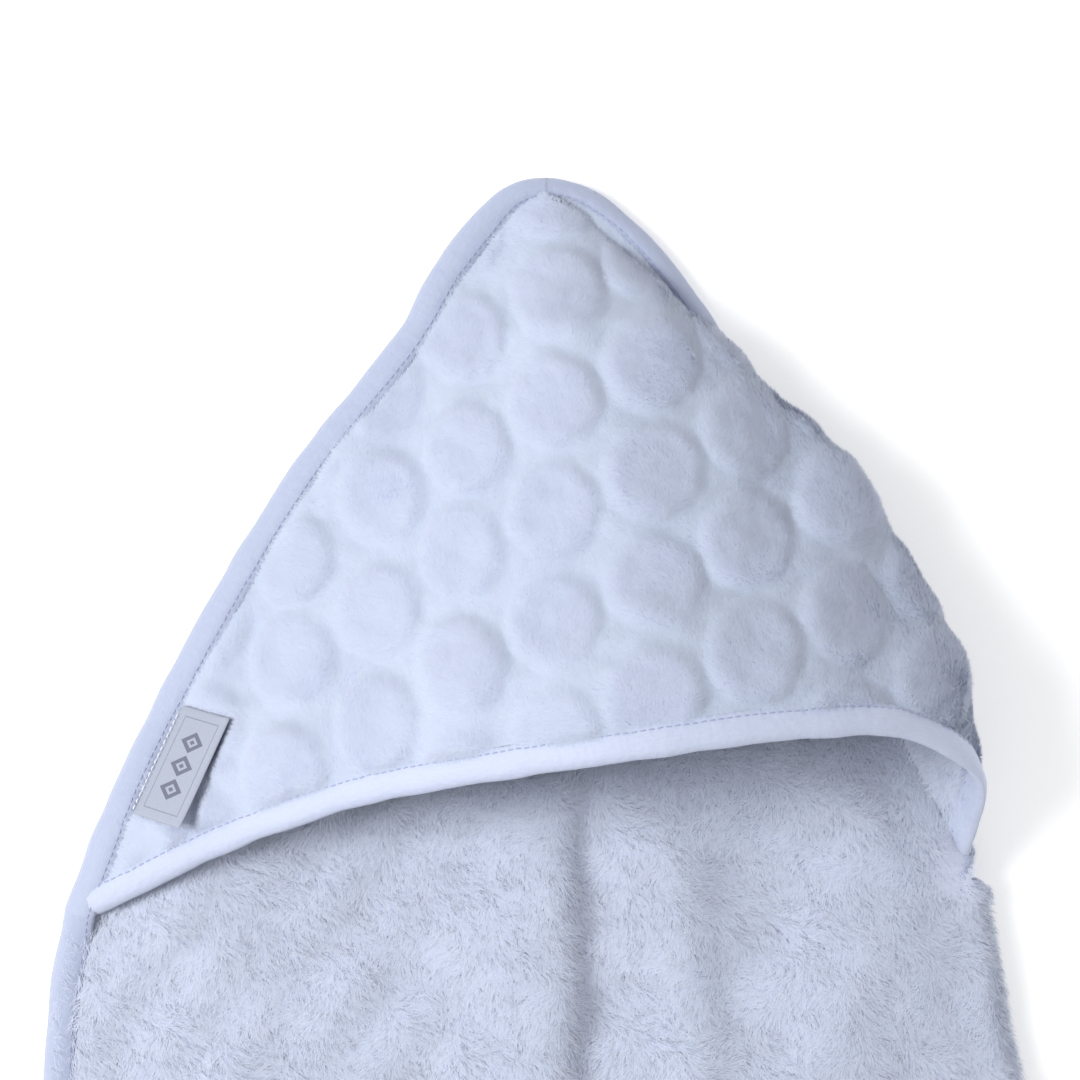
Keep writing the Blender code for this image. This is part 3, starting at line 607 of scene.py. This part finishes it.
def woven_label(name, ground, ink):
    """Fine taffeta with a border line and three small diamonds woven in a darker grey."""
    mat = plain(name, ground, 0.42, 0.35, 0.35, 0.45)
    calc = partial(math_node, mat)
    weave_at = node(mat, "ShaderNodeAttribute", {"attribute_name": "weave"}).outputs["Vector"]
    parts = node(mat, "ShaderNodeSeparateXYZ", Vector=weave_at)
    u, v = parts.outputs[0], parts.outputs[1]
    from_middle = calc("ABSOLUTE", v)
    warp = calc("SINE", calc("MULTIPLY", v, math.tau / 0.34))
    weft = calc("SINE", calc("MULTIPLY", u, math.tau / 0.5))
    weave = calc("MULTIPLY", warp, weft)
    from_axis = calc("ABSOLUTE", calc("SUBTRACT", u, LABEL_WIDTH / 2 + 0.6))
    cell = calc("PINGPONG", calc("ADD", v, 3 * DIAMOND_PITCH), DIAMOND_PITCH / 2)
    size = calc("ADD", calc("DIVIDE", from_axis, DIAMOND_WIDE), calc("DIVIDE", cell, DIAMOND_LONG))
    ring = calc("MULTIPLY", calc("LESS_THAN", size, 1.0), calc("GREATER_THAN", size, 0.52))
    heart = calc("LESS_THAN", size, 0.24)
    within = calc("LESS_THAN", from_middle, 14.0)
    diamonds = calc("MULTIPLY", calc("MAXIMUM", ring, heart), within)
    near_u = calc("LESS_THAN", calc("ABSOLUTE", calc("SUBTRACT", from_axis, BORDER_U)), BORDER_HALF)
    near_v = calc("LESS_THAN", calc("ABSOLUTE", calc("SUBTRACT", from_middle, BORDER_V)), BORDER_HALF)
    inside_u = calc("LESS_THAN", from_axis, BORDER_U + 0.2)
    inside_v = calc("LESS_THAN", from_middle, BORDER_V + 0.2)
    border = calc("MAXIMUM", calc("MULTIPLY", near_u, inside_v), calc("MULTIPLY", near_v, inside_u))
    figure = calc("MAXIMUM", diamonds, calc("MULTIPLY", border, 0.55))
    place = node(mat, "ShaderNodeTexCoord").outputs["Object"]
    grain = node(mat, "ShaderNodeTexNoise", {"Scale": 1400.0, "Detail": 3.0}, Vector=place)
    darker, lighter = tuple(c * 0.88 for c in ground), tuple(min(c * 1.1, 1) for c in ground)
    cloth = mix_colours(mat, grain.outputs[0], darker, lighter)
    to_shader(mat, "Base Color", mix_colours(mat, figure, cloth, ink))
    height = calc("ADD", calc("MULTIPLY", weave, 0.5), calc("MULTIPLY", figure, 0.6))
    bump = node(mat, "ShaderNodeBump", {"Strength": 0.5, "Distance": 0.00012}, Height=height)
    to_shader(mat, "Normal", bump.outputs[0])
    return mat


def label_frame():
    """Origin on the label's hinge line, and the directions along it, across the label and off its face."""
    joint = frame["record"]["behaviour"]["joints"][0]
    origin = np.array(joint["pos_m"]) / MM
    along = -unit(np.array(joint["axis"]))
    solid = frame["nodes"]["woven_label"]
    corners = np.array([solid.matrix_world @ v.co for v in solid.data.vertices]) / MM
    across = corners.mean(axis=0) - origin
    across = unit(across - along * across.dot(along))
    return origin, along, across, np.cross(across, along)


def under_label(points):
    """1 for points under the label, falling to 0 round it."""
    origin, along, across, _ = label_frame()
    u, v = (points - origin) @ across, (points - origin) @ along
    outside = np.maximum(np.abs(u - LABEL_WIDTH / 2) - LABEL_WIDTH / 2, np.abs(v) - LABEL_LENGTH / 2)
    return 1 - ramp(outside, -0.5, 1.5)


# ------------------------- hood
HOOD_T = np.linspace(0, 1, HOOD_ROWS + 1)[1:]


def dome_height(a, y):
    """Height of the raised dots at cloth coordinate a across the hood and y along it."""
    shift = np.random.default_rng(21).uniform(-DOME_SHIFT, DOME_SHIFT, (16, 24, 2))
    nearest = np.full(a.shape, 1e9)
    for side in (-1, 0, 1):
        column = np.round(a / DOME_COLUMN) + side
        lower = np.where(column >= 0, column * DOME_DROP, -4.2 * (column > -3.5))
        middle = DOME_CENTRE_Y - lower + np.where(column % 2 == 0, 0, DOME_PITCH / 2)
        step = np.round((y - middle) / DOME_PITCH)
        for extra in (-1, 0, 1):
            own = shift[(column.astype(int) + 8) % 16, (step + extra).astype(int) % 24]
            away = np.hypot(a - column * DOME_COLUMN - own[..., 0],
                            y - middle - (step + extra) * DOME_PITCH - own[..., 1])
            nearest = np.minimum(nearest, away)
    return 1 - ramp(nearest, DOME_RADIUS - DOME_GROOVE, DOME_RADIUS + 0.8)


def build_hood(ground):
    """The hood's cloth; gives its sheet, rows, front and back, facts of each point, dots and object.

    The facts are the cloth coordinate across the hood, y, and the distances from the seam and the mouth.
    """
    sheet = Sheet()
    tip = hood_base(0)[0] + [0, 0, STACK]
    apex = sheet.row([tip])
    rows, facts = [], [(0, tip[1], 0, HOOD_DEPTH)]
    for t in HOOD_T:
        line = smooth_line(hood_row(t), np.linspace(0, 1, HOOD_COLUMNS + 1))
        gone = np.concatenate([[0], np.cumsum(np.linalg.norm(np.diff(line, axis=0), axis=1))])
        flat = np.concatenate([[0], np.cumsum(np.hypot(np.diff(line[:, 0]), np.diff(line[:, 2])))])
        rising = np.maximum.accumulate(line[:, 0])
        zero = np.interp(DOME_AXIS, rising, flat)
        if rising[-1] <= DOME_AXIS:
            zero = flat[-1] + DOME_AXIS - rising[-1]
        from_seam = np.minimum(gone, gone[-1] - gone) * SEAM_SHARE
        from_mouth = (1 - t) * HOOD_DEPTH
        line[:, 2] += 1.5 * ramp(np.minimum(from_seam, from_mouth), *EDGE_RAMP)
        rows.append(sheet.row(line))
        facts += list(zip(flat - zero, line[:, 1], from_seam, np.full(len(line), from_mouth)))
    sheet.faces += [(apex[0], rows[0][k], rows[0][k + 1]) for k in range(HOOD_COLUMNS)]
    for upper, lower in zip(rows, rows[1:]):
        sheet.join(upper, lower)
    sheet.close()
    facts = np.array(facts)
    from_seam, from_mouth = facts[:, 2], facts[:, 3]
    dome = dome_height(facts[:, 0], facts[:, 1]) * ramp(from_seam, 8, 19) * ramp(from_mouth, 7, 15)
    flat = facts[:, :2]
    soft = 0.9 * waves(flat, 48, 11) + 0.22 * waves(flat, 15, 12) + 0.08 * waves(flat, 6, 13)
    soft += 0.3 * ramp(from_seam, 5, 10) * (1 - ramp(from_seam, 12, 30)) * waves(flat, 13, 14)
    uncovered = 1 - under_label(sheet.points)
    dome = dome * uncovered
    soft = soft * uncovered
    lift = (DOME_HEIGHT * dome + soft * ramp(from_seam, 4, 16) * ramp(from_mouth, 4, 16))[:, None]
    front = sheet.points + sheet.normals * (HALF + lift)
    back = sheet.points - sheet.normals * (HALF - 0.35 * lift)
    cloth = new_object("hood_cloth", slab("hood_cloth", sheet, front, back), ground, "towel")
    return sheet, rows, front, back, facts, dome, cloth


# ------------------------- body
FIRST_ROW = 0.026
LEFT_SIDE = np.vstack([smooth_line(line, np.linspace(0, 1, 120)) for line in (HOOD_LEFT, BODY_LEFT)])
RIGHT_SIDE = smooth_line(BODY_RIGHT, np.linspace(0, 1, 120))


def left_edge(y):
    x = np.interp(-y, -LEFT_SIDE[:, 1], LEFT_SIDE[:, 0])
    low = -HALF_LENGTH + CORNER_RADIUS - y
    if low > 0:
        x += CORNER_RADIUS - math.sqrt(max(CORNER_RADIUS ** 2 - low ** 2, 0))
    return x


def right_edge(y):
    return np.interp(-y, -RIGHT_SIDE[:, 1], RIGHT_SIDE[:, 0])


def upper_height(x, y, edge_z, distance, from_fold):
    inner = LOWER_Z + (UPPER_Z - LOWER_Z) * under_layer_share(y)
    inner = inner + relief(x, y) * ramp(distance, 8, 36) * ramp(from_fold, 0, 26)
    return edge_z + (inner - edge_z) * ramp(distance, *EDGE_RAMP)


def lower_height(distance):
    return LOWER_EDGE_Z + (LOWER_Z - LOWER_EDGE_Z) * ramp(distance, *EDGE_RAMP)


def hood_side_row(t):
    left, right = hood_base(t)
    width = math.hypot(*(right - left)[:2])
    distance = np.linspace(0, width, UPPER_COLUMNS + 1)
    row = left + (right - left) * (distance / width)[:, None]
    inset = np.minimum(distance, width - distance) * SEAM_SHARE
    row[:, 2] = upper_height(row[:, 0], row[:, 1], row[:, 2], inset, inset)
    return row, inset


def body_row(share):
    """One row below the hood: upper layer, fold, lower layer."""
    y_left = BODY_LEFT[0][1] - share * (BODY_LEFT[0][1] + HALF_LENGTH)
    y_right = BODY_RIGHT[0][1] - share * (BODY_RIGHT[0][1] + HALF_LENGTH)
    from_foot = y_right + HALF_LENGTH
    from_top = (share - FIRST_ROW) * (BODY_RIGHT[0][1] + HALF_LENGTH)
    lower_z = float(lower_height(min(from_foot, from_top)))
    radius = (UPPER_Z - lower_z) / 2
    x_left = left_edge(y_left)
    x_fold = right_edge(y_right) - 2 - radius
    distance = np.linspace(0, x_fold - x_left, UPPER_COLUMNS + 1)
    part = distance / distance[-1]
    x, y = x_left + distance, y_left + (y_right - y_left) * part
    z = upper_height(x, y, UPPER_EDGE_Z, np.minimum(distance, from_foot + 4), distance[-1] - distance)
    points = list(np.column_stack([x, y, z]))
    near = list(np.minimum(distance, from_foot))
    ripple = 1.2 * math.sin(y_right / 17) + 0.8 * math.sin(y_right / 7.3 + 1)
    for k in range(1, FOLD_STEPS):
        angle = math.pi * k / FOLD_STEPS
        swell = 1 + 0.06 * ripple * float(ramp(min(from_foot, from_top), 12, 40)) * math.sin(angle)
        points.append((x_fold + radius * math.sin(angle) * swell, y_right,
                       (UPPER_Z + lower_z) / 2 + radius * math.cos(angle)))
        near.append(min(from_foot, from_top))
    down = (share - FIRST_ROW) / (1 - FIRST_ROW)
    y_far = FLAP_TOP - down * (FLAP_TOP + HALF_LENGTH - LOWER_SKEW)
    width = x_fold - left_edge(y_far) - INSET
    open_from = width * FLAP_COLUMN / LOWER_COLUMNS
    for d in np.linspace(0, width, LOWER_COLUMNS + 1):
        edge = min(width - d, from_foot, math.hypot(max(d - open_from, 0), from_top))
        points.append((x_fold - d, y_right + (y_far - y_right) * d / width, float(lower_height(edge))))
        near.append(-d)
    return points, near


def flap_rows(top_row):
    """The tucked corner: over the top fold of the lower layer and down to its slanting free edge."""
    top = np.array(top_row)
    right, left = top[0], top[-1]
    width = right[0] - left[0]
    rows = []
    for step in range(1, 6):
        angle = math.pi * step / 6
        radius = (FLAP_Z - top[:, 2]) / 2
        rows.append(np.column_stack([top[:, 0], top[:, 1] + radius * math.sin(angle),
                                     (FLAP_Z + top[:, 2]) / 2 - radius * math.cos(angle)]))
    drop = FLAP_RIGHT + (FLAP_LEFT - FLAP_RIGHT) * (right[0] - top[:, 0]) / width
    corner = np.clip(1 - (top[:, 0] - left[0]) / CORNER_RADIUS, 0, 1)
    drop = drop - CORNER_RADIUS * (1 - np.sqrt(1 - corner ** 2))
    for part in np.linspace(0, 1, FLAP_ROWS):
        rows.append(np.column_stack([top[:, 0], top[:, 1] - drop * part, np.full(len(top), FLAP_Z)]))
    return rows


def build_body(ground):
    """The folded body in one piece; gives its sheet, rows under the hood, free edge, front, facts, object.

    The facts are the distances from the edge, or minus the distance from the fold on the lower layer.
    """
    sheet = Sheet()
    apex = sheet.row([hood_base(0)[0]])
    near = [0.0]
    rows = []
    for t in HOOD_T:
        row, inset = hood_side_row(t)
        rows.append(sheet.row(row))
        near += list(inset)
    sheet.faces += [(apex[0], rows[0][k], rows[0][k + 1]) for k in range(UPPER_COLUMNS)]
    under = len(rows)
    for share in np.linspace(FIRST_ROW, 1, BODY_ROWS):
        row, inset = body_row(share)
        rows.append(sheet.row(row))
        near += list(inset)
    for upper, lower in zip(rows, rows[1:]):
        sheet.join(upper, lower)
    body = rows[under:]
    first = UPPER_COLUMNS + FOLD_STEPS + FLAP_COLUMN
    flap = [body[0][first:]]
    for row in flap_rows([sheet.points[k] for k in body[0][first:]]):
        flap.append(sheet.row(row))
        near += [NO_PILE] * len(row)
    for lower, upper in zip(flap, flap[1:]):
        sheet.join(upper, lower)
    sheet.close()
    edge = [row[0] for row in body]
    edge += body[-1][1:]
    edge += [row[-1] for row in body[-2::-1]]
    edge += [row[-1] for row in flap[1:]]
    edge += flap[-1][-2::-1]
    edge += [row[0] for row in flap[-2::-1]]
    edge += body[0][first - 1:UPPER_COLUMNS - 1:-1]
    front = sheet.points + sheet.normals * HALF
    back = sheet.points - sheet.normals * HALF
    back[:, 2] = np.maximum(back[:, 2], 0.1)
    cloth = new_object("body_cloth", slab("body_cloth", sheet, front, back), ground, "towel")
    return sheet, rows[:under], edge, front, np.array(near), cloth


# ------------------------- bound edges
def tangents(points, closed):
    if closed:
        return unit(np.roll(points, -1, axis=0) - np.roll(points, 1, axis=0))
    return unit(np.gradient(points, axis=0))


def legs(sheet, index, way, reach):
    """Edge points and normals of a sheet, and the ends of the tape's leg on it."""
    edge, normal = sheet.points[index], sheet.normals[index]
    inward = unit(np.cross(normal, way))
    ends = [sheet.leg_end(e, i, r) for e, i, r in zip(edge, inward, reach)]
    return (edge, normal), (np.array([p for p, _ in ends]), unit(np.array([n for _, n in ends])))


def join_legs(parts):
    return tuple(np.concatenate([part[k] for part in parts]) for k in (0, 1))


def bind_perimeter(hood, hood_rows, body, under, edge, mat):
    left_h, right_h = [0] + [row[0] for row in hood_rows], [row[-1] for row in hood_rows][::-1]
    left_b, right_b = [0] + [row[0] for row in under], [row[-1] for row in under][::-1]
    front = np.vstack([hood.points[left_h], body.points[edge], hood.points[right_h]])
    way = tangents(front, True)
    total = len(front)
    reach = np.full(total, TAPE_REACH)
    reach[-len(right_h):] = RIGHT_REACH
    reach[-len(right_h) - FOLD_STEPS - 8:-len(right_h)] = END_REACH
    from_tip = np.abs((np.arange(total) + total // 2) % total - total // 2)
    reach = np.minimum(reach, END_REACH + from_tip * 0.45)
    reach = np.convolve(np.concatenate([reach[-6:], reach, reach[:6]]), np.ones(13) / 13, "valid")
    a, b = len(left_h), len(left_h) + len(edge)
    pieces = [(hood, body, left_h, left_b, slice(0, a)), (body, body, edge, edge, slice(a, b)),
              (hood, body, right_h, right_b, slice(b, total))]
    front_parts, back_parts = [], []
    for top, bottom, upper, lower, where in pieces:
        front_parts.append(legs(top, upper, way[where], reach[where]))
        back_parts.append(legs(bottom, lower, way[where], reach[where]))
    arguments = []
    for parts in (front_parts, back_parts):
        arguments.append(join_legs([part[0] for part in parts]))
        arguments.append(join_legs([part[1] for part in parts]))
    return tape("perimeter_tape", *arguments, True, mat, bulge=1.25)


def bind_mouth(hood, hood_rows, mat):
    row = np.array(hood_rows[-1])
    away = np.linalg.norm(hood.points[row] - hood.points[row[0]], axis=1)
    back = np.linalg.norm(hood.points[row] - hood.points[row[-1]], axis=1)
    row = row[(away > 5.5) & (back > 5.0)]
    way = tangents(hood.points[row], False)
    edge, leg = legs(hood, row, way, np.full(len(row), TAPE_REACH))
    return tape("mouth_tape", edge, leg, edge, leg, False, mat, bulge=1.2)


# ------------------------- label
def build_label(mat, thread_mat):
    origin, along, across, normal = label_frame()
    u, v = np.meshgrid(np.linspace(0.0, LABEL_FREE, LABEL_COLUMNS),
                       np.linspace(-LABEL_LENGTH / 2, LABEL_LENGTH / 2, LABEL_ROWS))
    share = u / LABEL_WIDTH
    bend = 1.1 * share ** 2 - 0.9 * np.exp(-u / 1.6) + 0.5 * share ** 3 * (v / 22) ** 2
    bend += 0.25 * np.sin(v / 9 + 0.8) * share
    rim = np.minimum(np.minimum(LABEL_FREE - u, LABEL_LENGTH / 2 - np.abs(v)), 1.0)
    hem = 0.10 * np.exp(-((LABEL_WIDTH - 1.2 - u) / 0.9) ** 2)
    half = LABEL_HALF * np.sqrt(np.clip(rim, 0.04, 1)) + hem
    sheet = Sheet()
    lines = []
    for k in range(LABEL_ROWS):
        lines.append(sheet.row(origin + across * u[k][:, None] + along * v[k][:, None]
                               + normal * bend[k][:, None]))
    for lower, upper in zip(lines, lines[1:]):
        sheet.join(upper, lower)
    sheet.close()
    thick = sheet.normals * half.ravel()[:, None]
    mesh = slab("label_cloth", sheet, sheet.points + thick, sheet.points - thick)
    place = np.tile(np.column_stack([u.ravel(), v.ravel(), np.zeros(u.size)]), (2, 1))
    layer = mesh.attributes.new("weave", "FLOAT_VECTOR", "POINT")
    layer.data.foreach_set("vector", place.astype(np.float32).ravel())
    label = new_object("label_cloth", mesh, mat, "label")
    at = np.linspace(0, LABEL_LENGTH - 2, 60)
    seam = origin + along * (at - at[-1] / 2)[:, None] + normal * 0.25
    up = np.tile(normal, (len(at), 1))
    sewn = stitches("label_stitches", seam, up, at, thread_mat, pitch=2.7, length=2.1)
    return label, sewn


# ------------------------- the towel
body_ground = plush_ground("body_plush_ground", (0.60, 0.65, 0.77), (0.53, 0.58, 0.71), (1, 0.35, 1))
hood_ground = plush_ground("hood_plush_ground", (0.54, 0.59, 0.73), (0.45, 0.50, 0.64), (1, 0.5, 1))
satin_mat = satin("satin_tape", (0.445, 0.49, 0.635), (0.365, 0.41, 0.56))
# The mouth's tape is the same satin as the perimeter tape, painted lighter: a lit copy that stands in for the
# light on the hood's front edge.
mouth_satin_painted_lighter = satin("mouth_satin_painted_lighter", (0.56, 0.61, 0.76), (0.46, 0.51, 0.67))
thread_mat = thread("seam_thread", (0.42, 0.45, 0.64), (0.32, 0.35, 0.54))
label_thread_mat = thread("label_thread", (0.85, 0.87, 0.92), (0.70, 0.72, 0.80))
label_mat = woven_label("woven_label", (0.35, 0.385, 0.475), (0.13, 0.14, 0.20))
hood_mats = [plain("hood_pile_" + key, colour, *PILE_SHEEN) for key, colour in (
    ("a", (0.535, 0.583, 0.712)), ("b", (0.555, 0.604, 0.730)),
    ("c", (0.560, 0.616, 0.738)), ("d", (0.578, 0.636, 0.755)))]
body_mats = [plain("body_pile_" + key, colour, *PILE_SHEEN) for key, colour in (
    ("a", (0.58, 0.63, 0.75)), ("b", (0.64, 0.68, 0.80)), ("c", (0.63, 0.68, 0.80)))]

hood, hood_rows, hood_front, hood_back, hood_facts, dome, hood_cloth = build_hood(hood_ground)
body, under_rows, body_edge, body_front, body_near, body_cloth = build_body(body_ground)

tape_obj, seam, up, at = bind_perimeter(hood, hood_rows, body, under_rows, body_edge, satin_mat)
perimeter_stitches = stitches("perimeter_stitches", seam, up, at, thread_mat)
mouth_obj, mouth_seam, mouth_up, mouth_at = bind_mouth(hood, hood_rows, mouth_satin_painted_lighter)
mouth_stitches = stitches("mouth_stitches", mouth_seam, mouth_up, mouth_at, thread_mat)
label_cloth, label_stitches = build_label(label_mat, label_thread_mat)

# ------------------------- pile on the hood
front_normals = hood.vertex_normals(hood_front)
from_seam, from_mouth = hood_facts[:, 2], hood_facts[:, 3]
bare = 7.6 + (RIGHT_REACH - 7.0) * ramp(hood.points[:, 0], 2, 14)
clear = ramp(from_seam, bare, bare + 1.6) * ramp(from_mouth, 7.8, 9.4) * (1 - under_label(hood.points))
on_dome = ramp(dome, 0.35, 0.6)
for key, mask, mat, seed in (("dome_a", on_dome, hood_mats[0], 31), ("dome_b", on_dome, hood_mats[1], 32),
                             ("ground_a", 1 - on_dome, hood_mats[3], 33),
                             ("ground_b", 1 - on_dome, hood_mats[2], 34)):
    share = clear * mask
    place, normal = scatter(hood_front, hood.corners, front_normals, share, HOOD_BLADES, seed)
    _, base = scatter(hood_front, hood.corners, hood.normals, share, HOOD_BLADES, seed)
    turn = math.pi * 0.62 + 0.8 * waves(place, 42, 41) + 0.3 * waves(place, 14, 42)
    nap = heading(turn) + (normal - base) * 3
    tufts("hood_pile_" + key, place, normal, nap, *HOOD_BLADE, (1.5, 0.26, 51), seed + 20,
                           mat, "hood_plush", stray=0.35, short=True, uneven=0.27)

inner_share = ramp(from_mouth, 8, 9.5) * (1 - ramp(from_mouth, 130, 190)) * ramp(from_seam, 5, 9)
place, normal = scatter(hood_back, hood.corners[:, ::-1], -front_normals, inner_share, 64000, 35)
turn = -math.pi / 2 + 0.9 * waves(place, 30, 43) + 0.6 * waves(place, 9, 44)
tufts("hood_pile_inner", place, normal, heading(turn), *INNER_BLADE, (2.0, 0.3, 52), 54,
                       body_mats[0], "hood_plush", droop=0.2)

# ------------------------- pile on the body
y = body.points[:, 1]
on_top = ramp(body_near, 7.8, 9.5)
not_tucked = body_near > NO_PILE + 1
beside_fold = np.where(body_near <= 0, 1 - ramp(-body_near, 0, 22), 1.0) * not_tucked
outside = np.where(body_near > 0, on_top, beside_fold * ramp(y + HALF_LENGTH, 8, 10))
hidden = ramp(y - 0.12 * body.points[:, 0], 215, 250)      # deep under the hood
close = ramp(y, -30, 0)
near_share, far_share = outside * close * (1 - hidden), outside * (1 - close)
for key, share, number, length, width, cell, pull, mat, seed, shadows in (
        ("near_a", near_share, 64000, 5.4, 0.30, 3.2, 0.36, body_mats[0], 61, False),
        ("near_b", near_share, 64000, 4.6, 0.28, 2.2, 0.30, body_mats[1], 62, False),
        ("near_c", near_share, 64000, 4.2, 0.28, 1.6, 0.20, body_mats[2], 65, False),
        ("near_d", near_share, 24000, 5.8, 0.26, 4.0, 0.40, body_mats[1], 66, True),
        ("far_a", far_share, 60000, 5.8, 0.75, 4.2, 0.36, body_mats[0], 63, False),
        ("far_b", far_share, 60000, 5.0, 0.70, 3.2, 0.30, body_mats[1], 64, False)):
    place, normal = scatter(body_front, body.corners, body.normals, share, number, seed)
    turn = -math.pi * 0.42 + 0.9 * waves(place, 34, 45) + 0.5 * waves(place, 11, 46)
    tufts("body_pile_" + key, place, normal, heading(turn, -0.1), length, width, BODY_LEAN,
                           (cell, pull, 53), seed + 20, mat, "body_plush", droop=0.25, stray=0.4,
                           shadows=shadows)

corner = np.array([163.0, 96.0, 15.0])          # where the fold starts, beside the hood's mouth
around = 1 - ramp(np.linalg.norm(body.points - corner, axis=1), 9, 17)
place, normal = scatter(body_front, body.corners, body.normals, around * not_tucked, 1500, 67)
nap = np.tile([0.8, -0.6, 0.0], (len(place), 1))
tufts("body_pile_corner", place, normal, nap, *CORNER_BLADE, (2.0, 0.4, 55), 87,
                       body_mats[1], "body_plush", droop=0.3)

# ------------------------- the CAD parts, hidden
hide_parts("body_panel")
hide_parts("hood_panel")
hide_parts("perimeter_binding")
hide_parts("hood_edge_binding")
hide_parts("perimeter_thread")
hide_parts("hood_edge_thread")
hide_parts("label_thread")
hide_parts("woven_label")

# ------------------------- floor, light and camera
floor_mesh = bpy.data.meshes.new("floor")
floor_mesh.from_pydata([(-6, -6, 0), (6, -6, 0), (6, 6, 0), (-6, 6, 0)], [], [(0, 1, 2, 3)])
floor = bpy.data.objects.new("floor", floor_mesh)
floor_mat = plain("studio_floor", (0.93, 0.93, 0.93), 0.9, 0.0, specular=0.0)
floor_shader = floor_mat.node_tree.nodes["Principled BSDF"]
floor_shader.inputs["Emission Color"].default_value = (1, 1, 1, 1)
floor_shader.inputs["Emission Strength"].default_value = 0.25
floor_mesh.materials.append(floor_mat)
bpy.context.scene.collection.objects.link(floor)

world = bpy.data.worlds.new("studio")
world.use_nodes = True
background = world.node_tree.nodes["Background"]
background.inputs["Color"].default_value = (1.0, 1.0, 1.0, 1)
background.inputs["Strength"].default_value = 0.62
bpy.context.scene.world = world


def area_light(name, place, aim, size, watts):
    light = bpy.data.lights.new(name, "AREA")
    light.size, light.energy = size, watts
    obj = bpy.data.objects.new(name, light)
    obj.location = place
    obj.rotation_mode = "QUATERNION"
    obj.rotation_quaternion = (Vector(aim) - Vector(place)).to_track_quat("-Z", "Y")
    bpy.context.scene.collection.objects.link(obj)


LIGHT_AIM = (0, 0.15, 0)
area_light("key", (-1.3, 0.30, 1.32), LIGHT_AIM, 0.8, 27)
area_light("fill", (1.3, 0.10, 1.0), LIGHT_AIM, 1.4, 4)

camera = bpy.data.cameras.new("camera")
camera.sensor_width = 36
camera.lens = 114.0
camera_obj = bpy.data.objects.new("camera", camera)
camera_obj.location = (0, 0.217, 1.3)
bpy.context.scene.collection.objects.link(camera_obj)
bpy.context.scene.camera = camera_obj
bpy.context.scene.view_settings.view_transform = "Standard"
